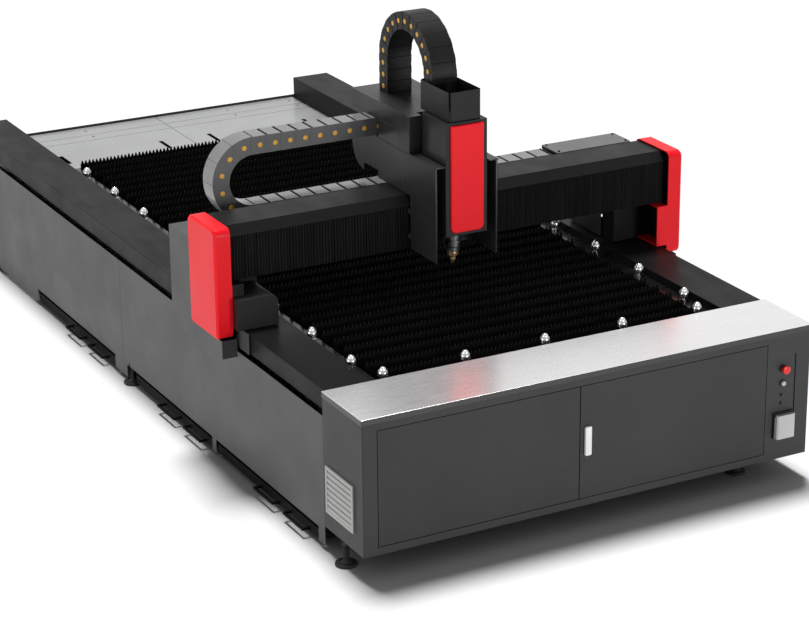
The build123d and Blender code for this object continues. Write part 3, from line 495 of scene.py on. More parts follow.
@dataclass(frozen=True)
class DeckCoat:
    """Glossy painted deck with the dark lines where its sheets meet."""

    colour: Colour
    seams_x: tuple[float, ...]
    seams_y: tuple[float, ...]
    seam: float = 0.0022

    def build(self, name: str) -> bpy.types.Material:
        """Builds the material.

        Args:
            name: The material's name.

        Returns:
            The material.
        """
        graph = Graph(name)
        gap: Any = 0.0
        for axis, places in ((Axis.X, self.seams_x), (Axis.Y, self.seams_y)):
            for place in places:
                offset = graph.math("SUBTRACT", graph.along(axis), place)
                near = graph.math("LESS_THAN", graph.math("ABSOLUTE", offset), self.seam)
                gap = graph.math("MAXIMUM", gap, near)
        cloud = graph.spread(graph.noise(2.2, 5), 0, 1)
        paint = graph.tint(cloud, shade(self.colour, 0.9), shade(self.colour, 1.08))
        graph.feed(
            Base_Color=graph.tint(gap, paint, shade(self.colour, 0.12)),
            Roughness=graph.spread(graph.noise(6, 5, (2, 1, 1)), 0.20, 0.34),
        )
        graph.height(graph.math("SUBTRACT", 1.0, gap), 0.0015, 0.8)
        graph.height(graph.noise(150, 2), 0.00002, 0.5)
        return graph.material


Finish = PowderCoat | BrushedSteel | BareSteel | CutSteel | Moulded | CoatedCloth | DeckCoat


class Palette:
    """Holds every finish once, with the record's slot for it, and dresses pieces in them."""

    finishes: dict[str, tuple[Finish, str]] = {
        "body_grey": (PowderCoat((0.082, 0.083, 0.085), gloss=0.16), "grey_paint"),
        "cabinet_grey": (PowderCoat((0.046, 0.0465, 0.0475), 0.4, 0.15), "grey_paint"),
        "door_grey": (PowderCoat((0.042, 0.0425, 0.0435), 0.4, 0.15), "grey_paint"),
        "guard_dark": (PowderCoat((0.0080, 0.0080, 0.0082), 0.38, 0.07), "dark_grey_paint"),
        "gantry_dark": (PowderCoat((0.0095, 0.0095, 0.0096), 0.40, 0.10), "dark_grey_paint"),
        "carriage_dark": (PowderCoat((0.030, 0.030, 0.031), 0.28, 0.2), "black_paint"),
        "carriage_top": (PowderCoat((0.030, 0.030, 0.031), 0.26, 0.2), "dark_grey_paint"),
        "frame_black": (PowderCoat((0.006, 0.006, 0.006), 0.55, 0.05), "black_paint"),
        "housing_grey": (PowderCoat((0.066, 0.0665, 0.068), 0.36, 0.16), "light_grey_paint"),
        "box_grey": (PowderCoat((0.14, 0.142, 0.145), 0.38), "light_grey_paint"),
        "box_black": (PowderCoat((0.009, 0.009, 0.009), 0.45), "black_paint"),
        "hood_dark": (PowderCoat((0.020, 0.020, 0.0205), 0.34, 0.12), "black_paint"),
        "unit_dark": (PowderCoat((0.022, 0.022, 0.0225), 0.30, 0.15), "black_paint"),
        "signal_red": (  # Painted shade: black on the left cap's inner step
            PowderCoat(
                (0.88, 0.009, 0.018), 0.34, 0.16, 0.02, 0.0, painted_shade_from=-1.0935, painted_shade_to=-0.5
            ),
            "red_paint",
        ),
        "cover_red": (PowderCoat((0.90, 0.009, 0.018), 0.34, 0.16, 0.02, 0.0), "red_paint"),
        "deck_light": (
            DeckCoat((0.35, 0.353, 0.358), (0.012,), (behind(4.495), behind(4.40))),
            "light_grey_paint",
        ),
        "plate_brushed": (  # Painted shade on the folded lips
            BrushedSteel((0.90, 0.89, 0.89), 0.22, Axis.X, 0.06, 0.70, shaded_below=0.7030),
            "brushed_steel",
        ),
        "grille_silver": (
            BrushedSteel((0.40, 0.40, 0.39), 0.5, Axis.Z, 0.05, 0.6), "light_plastic"
        ),
        "ledge_dark": (BrushedSteel((0.10, 0.10, 0.102), 0.22, Axis.X, 0.2), "dark_grey_paint"),
        "rail_ground": (BareSteel((0.42, 0.42, 0.43), 0.28), "ground_steel"),
        "rack_ground": (BareSteel((0.30, 0.30, 0.31), 0.38), "ground_steel"),
        "ball_polished": (BareSteel((0.86, 0.86, 0.86), 0.09, 0.03), "polished_steel"),
        "cup_steel": (BareSteel((0.55, 0.55, 0.56), 0.22), "polished_steel"),
        "screw_steel": (BareSteel((0.36, 0.36, 0.37), 0.3), "ground_steel"),
        "screw_black": (BareSteel((0.020, 0.020, 0.021), 0.4, 0.1), "ground_steel"),
        "head_steel": (BareSteel((0.13, 0.132, 0.135), 0.34), "ground_steel"),
        "nozzle_brass": (BareSteel((0.60, 0.42, 0.24), 0.3, stain=(0.2, 0.13, 0.08)), "brass"),
        "slat_scale": (CutSteel((0.0150, 0.0142, 0.0136), 0.705), "dark_grey_paint"),
        "chain_grey": (Moulded((0.100, 0.100, 0.101), 0.34, 0.00003, 0.3), "black_plastic"),
        "chain_lid": (Moulded((0.21, 0.212, 0.215), 0.2, 0.00002, 0.5), "black_plastic"),
        "chain_black": (Moulded((0.008, 0.008, 0.0085), 0.4, 0.00003, 0.16), "black_plastic"),
        "chain_pin": (Moulded((0.76, 0.40, 0.05), 0.45), "light_plastic"),
        "motor_black": (Moulded((0.018, 0.018, 0.019), 0.45), "black_plastic"),
        "knob_red": (Moulded((0.80, 0.012, 0.010), 0.28, coat=0.3), "red_plastic"),
        "knob_white": (Moulded((0.50, 0.51, 0.51), 0.35), "light_plastic"),
        "collar_black": (Moulded((0.012, 0.012, 0.012), 0.4), "black_plastic"),
        "socket_light": (Moulded((0.50, 0.50, 0.49), 0.34), "light_plastic"),
        "handle_white": (Moulded((0.84, 0.84, 0.83), 0.3, coat=0.2), "white_metal"),
        "foot_rubber": (Moulded((0.012, 0.012, 0.012), 0.6, 0.0002), "black_rubber"),
        "bellows_cloth": (CoatedCloth((0.0100, 0.0096, 0.0094)), "black_cloth"),
    }

    def __init__(self) -> None:
        """Starts with no material built."""
        self.built: dict[str, bpy.types.Material] = {}

    def material(self, name: str) -> bpy.types.Material:
        """Gives a finish's material, built on first use.

        Args:
            name: The finish's name.

        Returns:
            Its material.
        """
        if name not in self.built:
            self.built[name] = self.finishes[name][0].build(name)
        return self.built[name]

    def dress(self, piece: Piece, name: str) -> None:
        """Gives a piece its finish.

        Args:
            piece: The object.
            name: The finish's name.
        """
        piece.data.materials.clear()
        piece.data.materials.append(self.material(name))


# --------------------------------------------------------------------------------------
# Meshes
# --------------------------------------------------------------------------------------


def new_piece(name: str, shape: Shape, smooth_angle: float = SOFT_ANGLE) -> Piece:
    """Turns a bmesh into an object at the origin.

    Args:
        name: The piece's name.
        shape: The bmesh, which is freed.
        smooth_angle: Edges flatter than this are shaded smooth, in degrees.

    Returns:
        The new object.
    """
    bmesh.ops.remove_doubles(shape, verts=shape.verts, dist=1e-6)
    bmesh.ops.recalc_face_normals(shape, faces=shape.faces)
    shape.normal_update()
    flat, limit = math.radians(0.5), math.radians(smooth_angle)
    for edge in shape.edges:
        edge.smooth = len(edge.link_faces) == 2 and edge.calc_face_angle(0.0) < limit
    for face in shape.faces:
        curved = [
            other.calc_area()
            for edge in face.edges
            for other in edge.link_faces
            if other is not face and flat < edge.calc_face_angle(0.0) < limit
        ]
        face.smooth = bool(curved) and face.calc_area() < FLAT_SHARE * max(curved)
    mesh = bpy.data.meshes.new(name)
    shape.to_mesh(mesh)
    shape.free()
    piece = bpy.data.objects.new(name, mesh)
    bpy.context.scene.collection.objects.link(piece)
    return piece


def add_box(shape: Shape, low: Point, high: Point) -> None:
    """Adds a closed box to a bmesh.

    Args:
        shape: The bmesh to add to.
        low: Its least corner.
        high: Its greatest corner.
    """
    x, y, z = zip(low, high)
    verts = [shape.verts.new((a, b, c)) for a in x for b in y for c in z]
    sides = ((0, 1, 3, 2), (4, 6, 7, 5), (0, 4, 5, 1), (2, 3, 7, 6), (0, 2, 6, 4), (1, 5, 7, 3))
    for side in sides:
        shape.faces.new([verts[index] for index in side])


def round_edges(shape: Shape, width: float, segments: int) -> None:
    """Rounds every sharp edge of a bmesh.

    Args:
        shape: The bmesh to change.
        width: How wide the round is, in metres.
        segments: Steps across each edge.
    """
    shape.normal_update()
    limit = math.radians(SHARP_ANGLE)
    sharp = [
        edge
        for edge in shape.edges
        if len(edge.link_faces) == 2 and edge.calc_face_angle(0.0) > limit
    ]
    bmesh.ops.bevel(
        shape, geom=sharp, offset=width, segments=segments, profile=0.5, affect="EDGES",
        clamp_overlap=True,
    )


def add_lathe(
    shape: Shape, outline: Outline, centre: Point, steps: int, axis: Axis = Axis.Z
) -> None:
    """Adds a closed turned form.

    Args:
        shape: The bmesh to add to.
        outline: (radius, height) points.
        centre: The foot of the axis.
        steps: How many sides a ring has.
        axis: The axis, Z or Y; round Y, heights run towards -Y.
    """
    turn = Matrix.Rotation(QUARTER, 4, "X") if axis is Axis.Y else Matrix()
    place = Matrix.Translation(centre) @ turn
    angles = [2 * math.pi * i / steps for i in range(steps)]
    rings = []
    for radius, height in outline:
        spokes = angles if radius > 0 else [0.0]
        ring = [Vector((radius * math.cos(a), radius * math.sin(a), height)) for a in spokes]
        rings.append([shape.verts.new(place @ point) for point in ring])
    for lower, upper in zip(rings, rings[1:]):
        for i in range(steps):
            j = (i + 1) % steps
            if len(lower) == 1:
                shape.faces.new((lower[0], upper[j], upper[i]))
            elif len(upper) == 1:
                shape.faces.new((lower[i], lower[j], upper[0]))
            else:
                shape.faces.new((lower[i], lower[j], upper[j], upper[i]))


def add_prism(shape: Shape, outline: Outline, low: float, high: float) -> None:
    """Adds a prism: a closed (x, z) outline pushed along Y from low to high.

    Args:
        shape: The bmesh to add to.
        outline: Its (x, z) points.
        low: Where it starts along Y.
        high: Where it ends.
    """
    near, far = ([shape.verts.new((x, y, z)) for x, z in outline] for y in (low, high))
    shape.faces.new(near)
    shape.faces.new(list(reversed(far)))
    for i in range(len(outline)):
        j = (i + 1) % len(outline)
        shape.faces.new((near[i], far[i], far[j], near[j]))


# --------------------------------------------------------------------------------------
# Geometry Nodes
# --------------------------------------------------------------------------------------


class Tree(Wiring):
    """Builds one geometry-node tree with named inputs."""

    def __init__(self, name: str, **inputs: str) -> None:
        """Starts the tree.

        Args:
            name: The tree's name.
            **inputs: The named inputs, with their socket kinds.
        """
        super().__init__(bpy.data.node_groups.new(name, "GeometryNodeTree"))
        sockets = self.tree.interface
        sockets.new_socket("Geometry", in_out="OUTPUT", socket_type="NodeSocketGeometry")
        self.sockets: dict[str, str] = {}
        for label, kind in inputs.items():
            item = sockets.new_socket(label, in_out="INPUT", socket_type=f"NodeSocket{kind}")
            self.sockets[label] = item.identifier
        self.entry = self.add("NodeGroupInput")
        self.exit = self.add("NodeGroupOutput")

    def wire(self, *links: tuple[Any, Any]) -> None:
        """Links pairs of sockets, where a name stands for a named input."""
        for start, end in links:
            self.join(self.entry.outputs[start] if isinstance(start, str) else start, end)

    def scatter(self, points: Any, turn: Any = None) -> None:
        """Ends the tree: the part on each point, made real, with its material.

        Args:
            points: Where the copies stand.
            turn: How each copy is turned.
        """
        part = self.add("GeometryNodeObjectInfo")
        place = self.add("GeometryNodeInstanceOnPoints")
        real = self.add("GeometryNodeRealizeInstances")
        paint = self.add("GeometryNodeSetMaterial")
        self.wire(
            ("Part", part.inputs["Object"]),
            (points, place.inputs["Points"]),
            (part.outputs["Geometry"], place.inputs["Instance"]),
            (place.outputs["Instances"], real.inputs["Geometry"]),
            (real.outputs["Geometry"], paint.inputs["Geometry"]),
            ("Material", paint.inputs["Material"]),
            (paint.outputs["Geometry"], self.exit.inputs[0]),
        )
        if turn is not None:
            self.join(turn, place.inputs["Rotation"])

    def grow(self, name: str, base: bpy.types.Mesh, **values: Any) -> Piece:
        """Runs the tree on a base mesh and keeps the result as a plain mesh.

        Args:
            name: The new piece's name.
            base: The mesh that the modifier stands on.
            **values: The named inputs.

        Returns:
            A plain mesh object at the origin, with no modifier.
        """
        carrier = bpy.data.objects.new(f"{name}_grown", base)
        bpy.context.scene.collection.objects.link(carrier)
        modifier = carrier.modifiers.new("grow", "NODES")
        modifier.node_group = self.tree
        for label, value in values.items():
            modifier[self.sockets[label]] = value
        graph = bpy.context.evaluated_depsgraph_get()
        mesh = bpy.data.meshes.new_from_object(carrier.evaluated_get(graph))
        bpy.data.objects.remove(carrier)
        mesh.name = name
        piece = bpy.data.objects.new(name, mesh)
        bpy.context.scene.collection.objects.link(piece)
        return piece


def row_tree() -> Tree:
    """Copies a part along a straight line, each a little out of step sideways.

    Returns:
        The tree.
    """
    tree = Tree(
        "row_of_parts", Part="Object", Count="Int", Start="Vector", Step="Vector",
        Slack="Vector", Seed="Int", Material="Material",
    )
    line = tree.add("GeometryNodeMeshLine", mode="OFFSET")
    chance = tree.add("FunctionNodeRandomValue", data_type="FLOAT_VECTOR")
    shift = tree.add("GeometryNodeSetPosition")
    back = tree.add("ShaderNodeVectorMath", operation="SCALE")
    back.inputs["Scale"].default_value = -1.0
    tree.wire(
        ("Count", line.inputs["Count"]),
        ("Start", line.inputs["Start Location"]),
        ("Step", line.inputs["Offset"]),
        ("Slack", back.inputs[0]),
        (back.outputs[0], chance.inputs["Min"]),
        ("Slack", chance.inputs["Max"]),
        ("Seed", chance.inputs["Seed"]),
        (line.outputs["Mesh"], shift.inputs["Geometry"]),
        (chance.outputs["Value"], shift.inputs["Offset"]),
    )
    tree.scatter(shift.outputs["Geometry"])
    return tree


def arc_tree() -> Tree:
    """Copies a part round an axis through a centre: each copy is turned by one more step.

    Returns:
        The tree.
    """
    tree = Tree(
        "arc_of_parts", Part="Object", Count="Int", Centre="Vector", Axis="Vector",
        First="Float", Step="Float", Material="Material",
    )
    line = tree.add("GeometryNodeMeshLine", mode="OFFSET")
    line.inputs["Offset"].default_value = (0, 0, 0)
    index = tree.add("GeometryNodeInputIndex")
    angle = tree.add("ShaderNodeMath", operation="MULTIPLY_ADD")
    turn = tree.add("FunctionNodeAxisAngleToRotation")
    tree.wire(
        ("Count", line.inputs["Count"]),
        ("Centre", line.inputs["Start Location"]),
        (index.outputs[0], angle.inputs[0]),
        ("Step", angle.inputs[1]),
        ("First", angle.inputs[2]),
        ("Axis", turn.inputs["Axis"]),
        (angle.outputs[0], turn.inputs["Angle"]),
    )
    tree.scatter(line.outputs["Mesh"], turn.outputs[0])
    return tree


def points_tree() -> Tree:
    """Copies a part to each vertex of the base mesh, with a seeded spin about its own Z.

    Returns:
        The tree.
    """
    tree = Tree(
        "parts_on_points", Geometry="Geometry", Part="Object", Spin="Float", Seed="Int",
        Material="Material",
    )
    chance = tree.add("FunctionNodeRandomValue", data_type="FLOAT")
    spin = tree.add("FunctionNodeAxisAngleToRotation")
    spin.inputs["Axis"].default_value = Axis.Z.value
    tree.wire(
        ("Spin", chance.inputs[3]),
        ("Seed", chance.inputs["Seed"]),
        (chance.outputs[1], spin.inputs["Angle"]),
    )
    tree.scatter(tree.entry.outputs["Geometry"], spin.outputs[0])
    return tree


@dataclass
class Shop:
    """What every sub-assembly works with: the palette and the three patterns."""

    palette: Palette = field(default_factory=Palette)
    row: Tree = field(default_factory=row_tree)
    arc: Tree = field(default_factory=arc_tree)
    points: Tree = field(default_factory=points_tree)

    def keep(self, piece: Piece, finish: str, body: str, *nodes: str) -> None:
        """Dresses a piece, lets it ride on a body and stand for CAD nodes.

        Args:
            piece: The object.
            finish: The finish's name.
            body: The body that it rides on.
            *nodes: The CAD nodes that it stands for.
        """
        self.palette.dress(piece, finish)
        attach(piece, body)
        if nodes:
            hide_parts(*nodes)
        log.info("%s rides on %s, %d faces", piece.name, body, len(piece.data.polygons))

    def eased(self, node: str, finish: str, width: float, segments: int = 2) -> None:
        """Makes a copy of a CAD node with eased edges, which stands for it.

        Args:
            node: The CAD node.
            finish: The finish's name.
            width: How wide the eased edges are, in metres.
            segments: Steps across each edge.
        """
        shape = bmesh.new()
        shape.from_mesh(frame["nodes"][node].data)
        bmesh.ops.remove_doubles(shape, verts=shape.verts, dist=2e-6)
        bmesh.ops.dissolve_limit(
            shape, angle_limit=math.radians(SAME_PLANE), verts=shape.verts, edges=shape.edges,
            use_dissolve_boundaries=False,
        )
        spans = [[vertex.co[i] for vertex in shape.verts] for i in range(3)]
        limits = [(min(span), max(span)) for span in spans]
        round_edges(shape, width, segments)
        for vertex in shape.verts:
            for i, (low, high) in enumerate(limits):
                vertex.co[i] = min(max(vertex.co[i], low), high)
        piece = new_piece(f"{node}_eased", shape)
        self.keep(piece, finish, frame["nodes"][node]["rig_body"], node)

    def plain(self, finish: str, *nodes: str) -> None:
        """Gives CAD nodes that keep their own meshes a better material."""
        for node in nodes:
            self.palette.dress(frame["nodes"][node], finish)

    def turned(
        self, name: str, outline: Outline, centre: Point, steps: int, axis: Axis,
        finish: str, body: str, node: str,
    ) -> None:
        """Turns one piece on a lathe, which stands for a CAD node.

        Args:
            name: The piece's name.
            outline: Its (radius, height) points.
            centre: The foot of its axis.
            steps: How many sides a ring has.
            axis: Its axis, Z or Y.
            finish: The finish's name.
            body: The body that it rides on.
            node: The CAD node that it stands for.
        """
        shape = bmesh.new()
        add_lathe(shape, outline, centre, steps, axis)
        self.keep(new_piece(name, shape), finish, body, node)

    def copies(
        self, name: str, tree: Tree, build: Callable[[Shape], None], finish: str,
        places: Iterable[Point] = (), smooth_angle: float = SOFT_ANGLE, **values: Any,
    ) -> Piece:
        """Builds one part and copies it by a pattern.

        Args:
            name: The new piece's name.
            tree: The pattern.
            build: Builds the part.
            finish: The finish's name.
            places: Where the copies go, for the pattern on points.
            smooth_angle: Edges flatter than this are shaded smooth, in degrees.
            **values: The pattern's other inputs.

        Returns:
            The copies as one piece.
        """
        shape = bmesh.new()
        build(shape)
        part = new_piece(f"{name}_part", shape, smooth_angle)
        base = bpy.data.meshes.new(f"{name}_base")
        base.from_pydata([tuple(place) for place in places], [], [])
        piece = tree.grow(
            name, base, Part=part, Material=self.palette.material(finish), **values
        )
        bpy.data.objects.remove(part)
        return piece

    def screws(self, name: str, places: Iterable[Point], body: str, finish: str) -> None:
        """Places domed socket screws, facing up, on the pieces that they hold.

        Args:
            name: The group's name.
            places: Where the heads sit.
            body: The body that they ride on.
            finish: The finish's name.
        """
        radius, height = 0.0065, 0.005
        outline = (
            (0, 0), (radius, 0), (radius, height * 0.45), (radius * 0.82, height * 0.85),
            (radius * 0.5, height), (radius * 0.46, height * 0.45), (0, height * 0.4),
        )
        piece = self.copies(
            name, self.points, lambda shape: add_lathe(shape, outline, (0, 0, 0), 12), finish,
            places, Spin=math.pi / 3, Seed=SEED,
        )
        self.keep(piece, finish, body)


# --------------------------------------------------------------------------------------
# Sub-assemblies
# --------------------------------------------------------------------------------------


@dataclass
class Cabinet:
    """The front cabinet with its doors, brushed top, controls and filter grille."""

    shop: Shop
    stop_place: Point = (0.936, behind(0.0), 0.529)
    start_place: Point = (0.936, behind(0.0), 0.461)
    lamp_places: tuple[Point, ...] = ((0.933, behind(0.0), 0.406), (0.933, behind(0.0), 0.369))
    mushroom: Outline = (
        (0, -0.010), (0.0105, -0.010), (0.0105, 0.018), (0.0165, 0.0195), (0.0188, 0.0225),
        (0.019, 0.027), (0.0178, 0.0305), (0.0145, 0.0325), (0.0095, 0.0328), (0.0085, 0.0318),
        (0, 0.0316),
    )
    cap: Outline = (
        (0, -0.007), (0.0105, -0.007), (0.0108, 0.0125), (0.0098, 0.0147), (0.0082, 0.0150),
        (0.0075, 0.0140), (0, 0.0136),
    )
    collar: Outline = (
        (0.0114, -0.002), (0.0155, -0.002), (0.0155, 0.0045), (0.0140, 0.0062),
        (0.0114, 0.0062), (0.0114, -0.002),
    )
    lens: Outline = ((0, 0.004), (0.0062, 0.004), (0.0058, 0.0062), (0.0036, 0.0078), (0, 0.0084))

    def build(self) -> None:
        """Builds and dresses the cabinet's pieces."""
        self.shop.eased("cabinet_shell", "cabinet_grey", 0.0015)
        self.shop.eased("cabinet_front_frame", "cabinet_grey", 0.0012)
        self.shop.eased("cabinet_top_plate", "plate_brushed", 0.0016, 3)
        self.shop.eased("door_left", "door_grey", 0.0014)
        self.shop.eased("door_right", "door_grey", 0.0014)
        self.shop.eased("vent_grille", "grille_silver", 0.0009)
        self.shop.eased("door_handle", "handle_white", 0.0018, 3)
        self.shop.eased("socket_flap", "socket_light", 0.003, 3)
        self.shop.plain("collar_black", "panel_fittings")
        self.shop.turned(
            "stop_mushroom", self.mushroom, self.stop_place, 40, Axis.Y,
            "knob_red", "stop_button", "emergency_stop",
        )
        self.shop.turned(
            "start_cap", self.cap, self.start_place, 36, Axis.Y,
            "knob_white", "start", "start_button",
        )
        shape = bmesh.new()
        for place in (self.stop_place, self.start_place):
            add_lathe(shape, self.collar, place, 32, Axis.Y)
        for place in self.lamp_places:
            add_lathe(shape, self.lens, place, 24, Axis.Y)
        self.shop.keep(new_piece("button_collars", shape), "collar_black", "bed")


@dataclass
class Bed:
    """The bed: panels, frame, guards, deck, feet and scrap drawers."""

    shop: Shop
    foot_places: tuple[Pair, ...] = (
        (-1.058, 0.190), (0.831, 0.170), (-1.058, 2.420), (1.058, 2.420), (-1.058, 4.295),
        (1.058, 4.295),
    )
    foot: Outline = (
        (0, 0), (0.0455, 0), (0.0465, 0.002), (0.0465, 0.009), (0.043, 0.0125), (0.022, 0.014),
        (0.0165, 0.020), (0.0112, 0.024), (0.0112, 0.110), (0, 0.110),
    )
    nut: Outline = ((0, 0.088), (0.019, 0.088), (0.020, 0.090), (0.020, 0.102), (0.019, 0.104),
                    (0, 0.104))
    thread: Outline = ((0.0108, -0.0009), (0.0120, 0), (0.0108, 0.0009))
    thread_start: float = 0.028
    thread_pitch: float = 0.0024
    thread_turns: int = 24
    deck_half: float = 0.851
    deck_start: float = 3.714
    deck_end: float = 4.632
    deck_z: float = 0.583
    step_top_z: float = 0.666
    sheet: float = 0.003
    slot_places: tuple[float, ...] = (-0.708, -0.140, 0.140, 0.708)
    slot_start: float = 4.055
    slot_end: float = 4.200
    slot_width: float = 0.022
    cut_edge: float = 0.0006
    fold_gap: float = 0.0002
    screw_z: float = 0.5832
    screws_x: tuple[float, ...] = (-0.80, -0.42, 0.42, 0.80)
    screws_y: tuple[float, ...] = (3.76, 4.46, 4.57)

    def build(self) -> None:
        """Builds and dresses the bed's pieces."""
        self.shop.eased("bed_panels", "body_grey", 0.0009)
        self.shop.eased("rail_guards", "guard_dark", 0.0010)
        self._deck()
        self.shop.eased("ball_ledges", "ledge_dark", 0.0007)
        self.shop.plain("frame_black", "bed_frame")
        self.shop.plain("rail_ground", "bed_rails")
        for side in ("left", "right"):
            for place in ("front", "middle", "rear"):
                self.shop.eased(f"drawer_{side}_{place}", "frame_black", 0.0009)
        self._feet()
        places = [(x, behind(y), self.screw_z) for y in self.screws_y for x in self.screws_x]
        self.shop.screws("deck_screws", places, "bed", "screw_steel")

    def _deck(self) -> None:
        """Cuts the rear deck with its four long slots, and folds the step down to it."""
        half, start, end = self.deck_half, behind(self.deck_start), behind(self.deck_end)
        slots = [(at - self.slot_width / 2, at + self.slot_width / 2) for at in self.slot_places]
        columns = [-half, *(edge for slot in slots for edge in slot), half]
        rows = [start, behind(self.slot_start), behind(self.slot_end), end]
        shape = bmesh.new()
        levels = [
            [[shape.verts.new((x, y, z)) for y in rows] for x in columns]
            for z in (self.deck_z, self.deck_z - self.sheet)
        ]
        for i in range(len(columns) - 1):
            for j in range(len(rows) - 1):
                if j == 1 and i % 2 == 1:
                    continue
                for level in levels:
                    left, right = level[i], level[i + 1]
                    shape.faces.new((left[j], right[j], right[j + 1], left[j + 1]))
        below = {
            upper: lower
            for uppers, lowers in zip(*levels)
            for upper, lower in zip(uppers, lowers)
        }
        rims = [edge for edge in shape.edges if len(edge.link_faces) == 1]
        for first, second in [edge.verts for edge in rims if edge.verts[0] in below]:
            shape.faces.new((first, second, below[second], below[first]))
        round_edges(shape, self.cut_edge, 1)
        near, far, foot = start - self.sheet, start - self.fold_gap, self.deck_z - self.sheet
        add_box(shape, (-half, near, foot), (half, far, self.step_top_z))
        self.shop.keep(new_piece("deck_sheet", shape), "deck_light", "bed", "rear_deck")

    def _feet(self) -> None:
        """Turns the levelling feet with their nuts, and sets rings for the threads."""
        shape = bmesh.new()
        for x, distance in self.foot_places:
            add_lathe(shape, self.foot, (x, behind(distance), 0), 32)
            add_lathe(shape, self.nut, (x, behind(distance), 0), 6)
        self.shop.keep(new_piece("feet_turned", shape), "foot_rubber", "bed", "levelling_feet")
        places = [
            (x, behind(distance), self.thread_start + self.thread_pitch * turn)
            for x, distance in self.foot_places
            for turn in range(self.thread_turns)
        ]
        threads = self.shop.copies(
            "foot_threads", self.shop.points,
            lambda ring: add_lathe(ring, self.thread, (0, 0, 0), 20), "screw_black", places,
            Spin=0.0, Seed=SEED,
        )
        self.shop.keep(threads, "screw_black", "bed")


@dataclass
class CuttingTable:
    """The toothed slats and the ball units that a sheet rolls in on."""

    shop: Shop
    half_length: float = 0.786
    top_z: float = 0.705
    bottom_z: float = 0.595
    tooth: float = 0.022
    teeth: int = 80
    thickness: float = 0.004
    first: float = 0.430
    last: float = 3.711
    count: int = 33
    slack: float = 0.005
    worn: float = 0.0028
    tip: Pair = (0.42, 0.58)
    ball_radius: float = 0.0148
    ball_centre_z: float = 0.712
    ball_row: float = 0.411
    ball_row_pitch: float = 0.3835
    ball_column_x: float = 0.820
    ball_column_first: float = 0.592
    ball_column_pitch: float = 0.366
    ball_column_count: int = 9
    cup: Outline = (
        (0, 0.666), (0.0170, 0.666), (0.0170, 0.672), (0.0085, 0.6725), (0.0085, 0.687),
        (0.0212, 0.6875), (0.0225, 0.6890), (0.0225, 0.6950), (0.0218, 0.7020),
        (0.0198, 0.7085), (0.0172, 0.7128), (0.0150, 0.7148), (0.0140, 0.7140), (0, 0.7100),
    )

    def build(self) -> None:
        """Builds the slats and the ball units."""
        pitch = (self.last - self.first - self.thickness) / (self.count - 1)
        slats = self.shop.copies(
            "toothed_slats", self.shop.row, self._slat, "slat_scale", smooth_angle=20,
            Count=self.count, Start=(0, behind(self.first), 0), Step=(0, pitch, 0),
            Slack=(self.slack, 0, 0), Seed=SEED,
        )
        self.shop.keep(slats, "slat_scale", "bed", "slats")
        self._balls()

    def _slat(self, shape: Shape) -> None:
        """Builds one slat with fine teeth, blunt where the cuts have eaten them.

        Args:
            shape: The bmesh to add to.
        """
        half = self.half_length - self.slack
        run = 2 * half / self.teeth
        outline = [(-half, self.bottom_z)]
        for tooth in range(self.teeth):
            start = -half + tooth * run
            blunt = self.worn * (0.5 + 0.5 * math.sin(tooth * 2.3))
            outline.append((start, self.top_z - self.tooth))
            outline += [(start + run * share, self.top_z - blunt) for share in self.tip]
        outline += [(half, self.top_z - self.tooth), (half, self.bottom_z)]
        add_prism(shape, outline, 0.0, self.thickness)

    def _balls(self) -> None:
        """Places the cups and the balls: a row at the front and a column at each side."""
        places = [(step * self.ball_row_pitch, behind(self.ball_row), 0) for step in range(-2, 3)]
        for side in (-1, 1):
            for index in range(self.ball_column_count):
                y = behind(self.ball_column_first + index * self.ball_column_pitch)
                places.append((side * self.ball_column_x, y, 0))
        radius, middle = self.ball_radius, self.ball_centre_z
        angles = [math.pi * i / 12 for i in range(13)]
        ball = [(radius * math.sin(a), middle - radius * math.cos(a)) for a in angles]
        ball[0], ball[-1] = (0, ball[0][1]), (0, ball[-1][1])
        for name, outline, smooth_angle, finish, nodes in (
            ("ball_cups", self.cup, SOFT_ANGLE, "cup_steel", ()),
            ("transfer_balls", ball, 60, "ball_polished", ("ball_units",)),
        ):
            piece = self.shop.copies(
                name, self.shop.points,
                lambda shape: add_lathe(shape, outline, (0, 0, 0), 24), finish, places,
                smooth_angle, Spin=0.0, Seed=SEED,
            )
            self.shop.keep(piece, finish, "bed", *nodes)


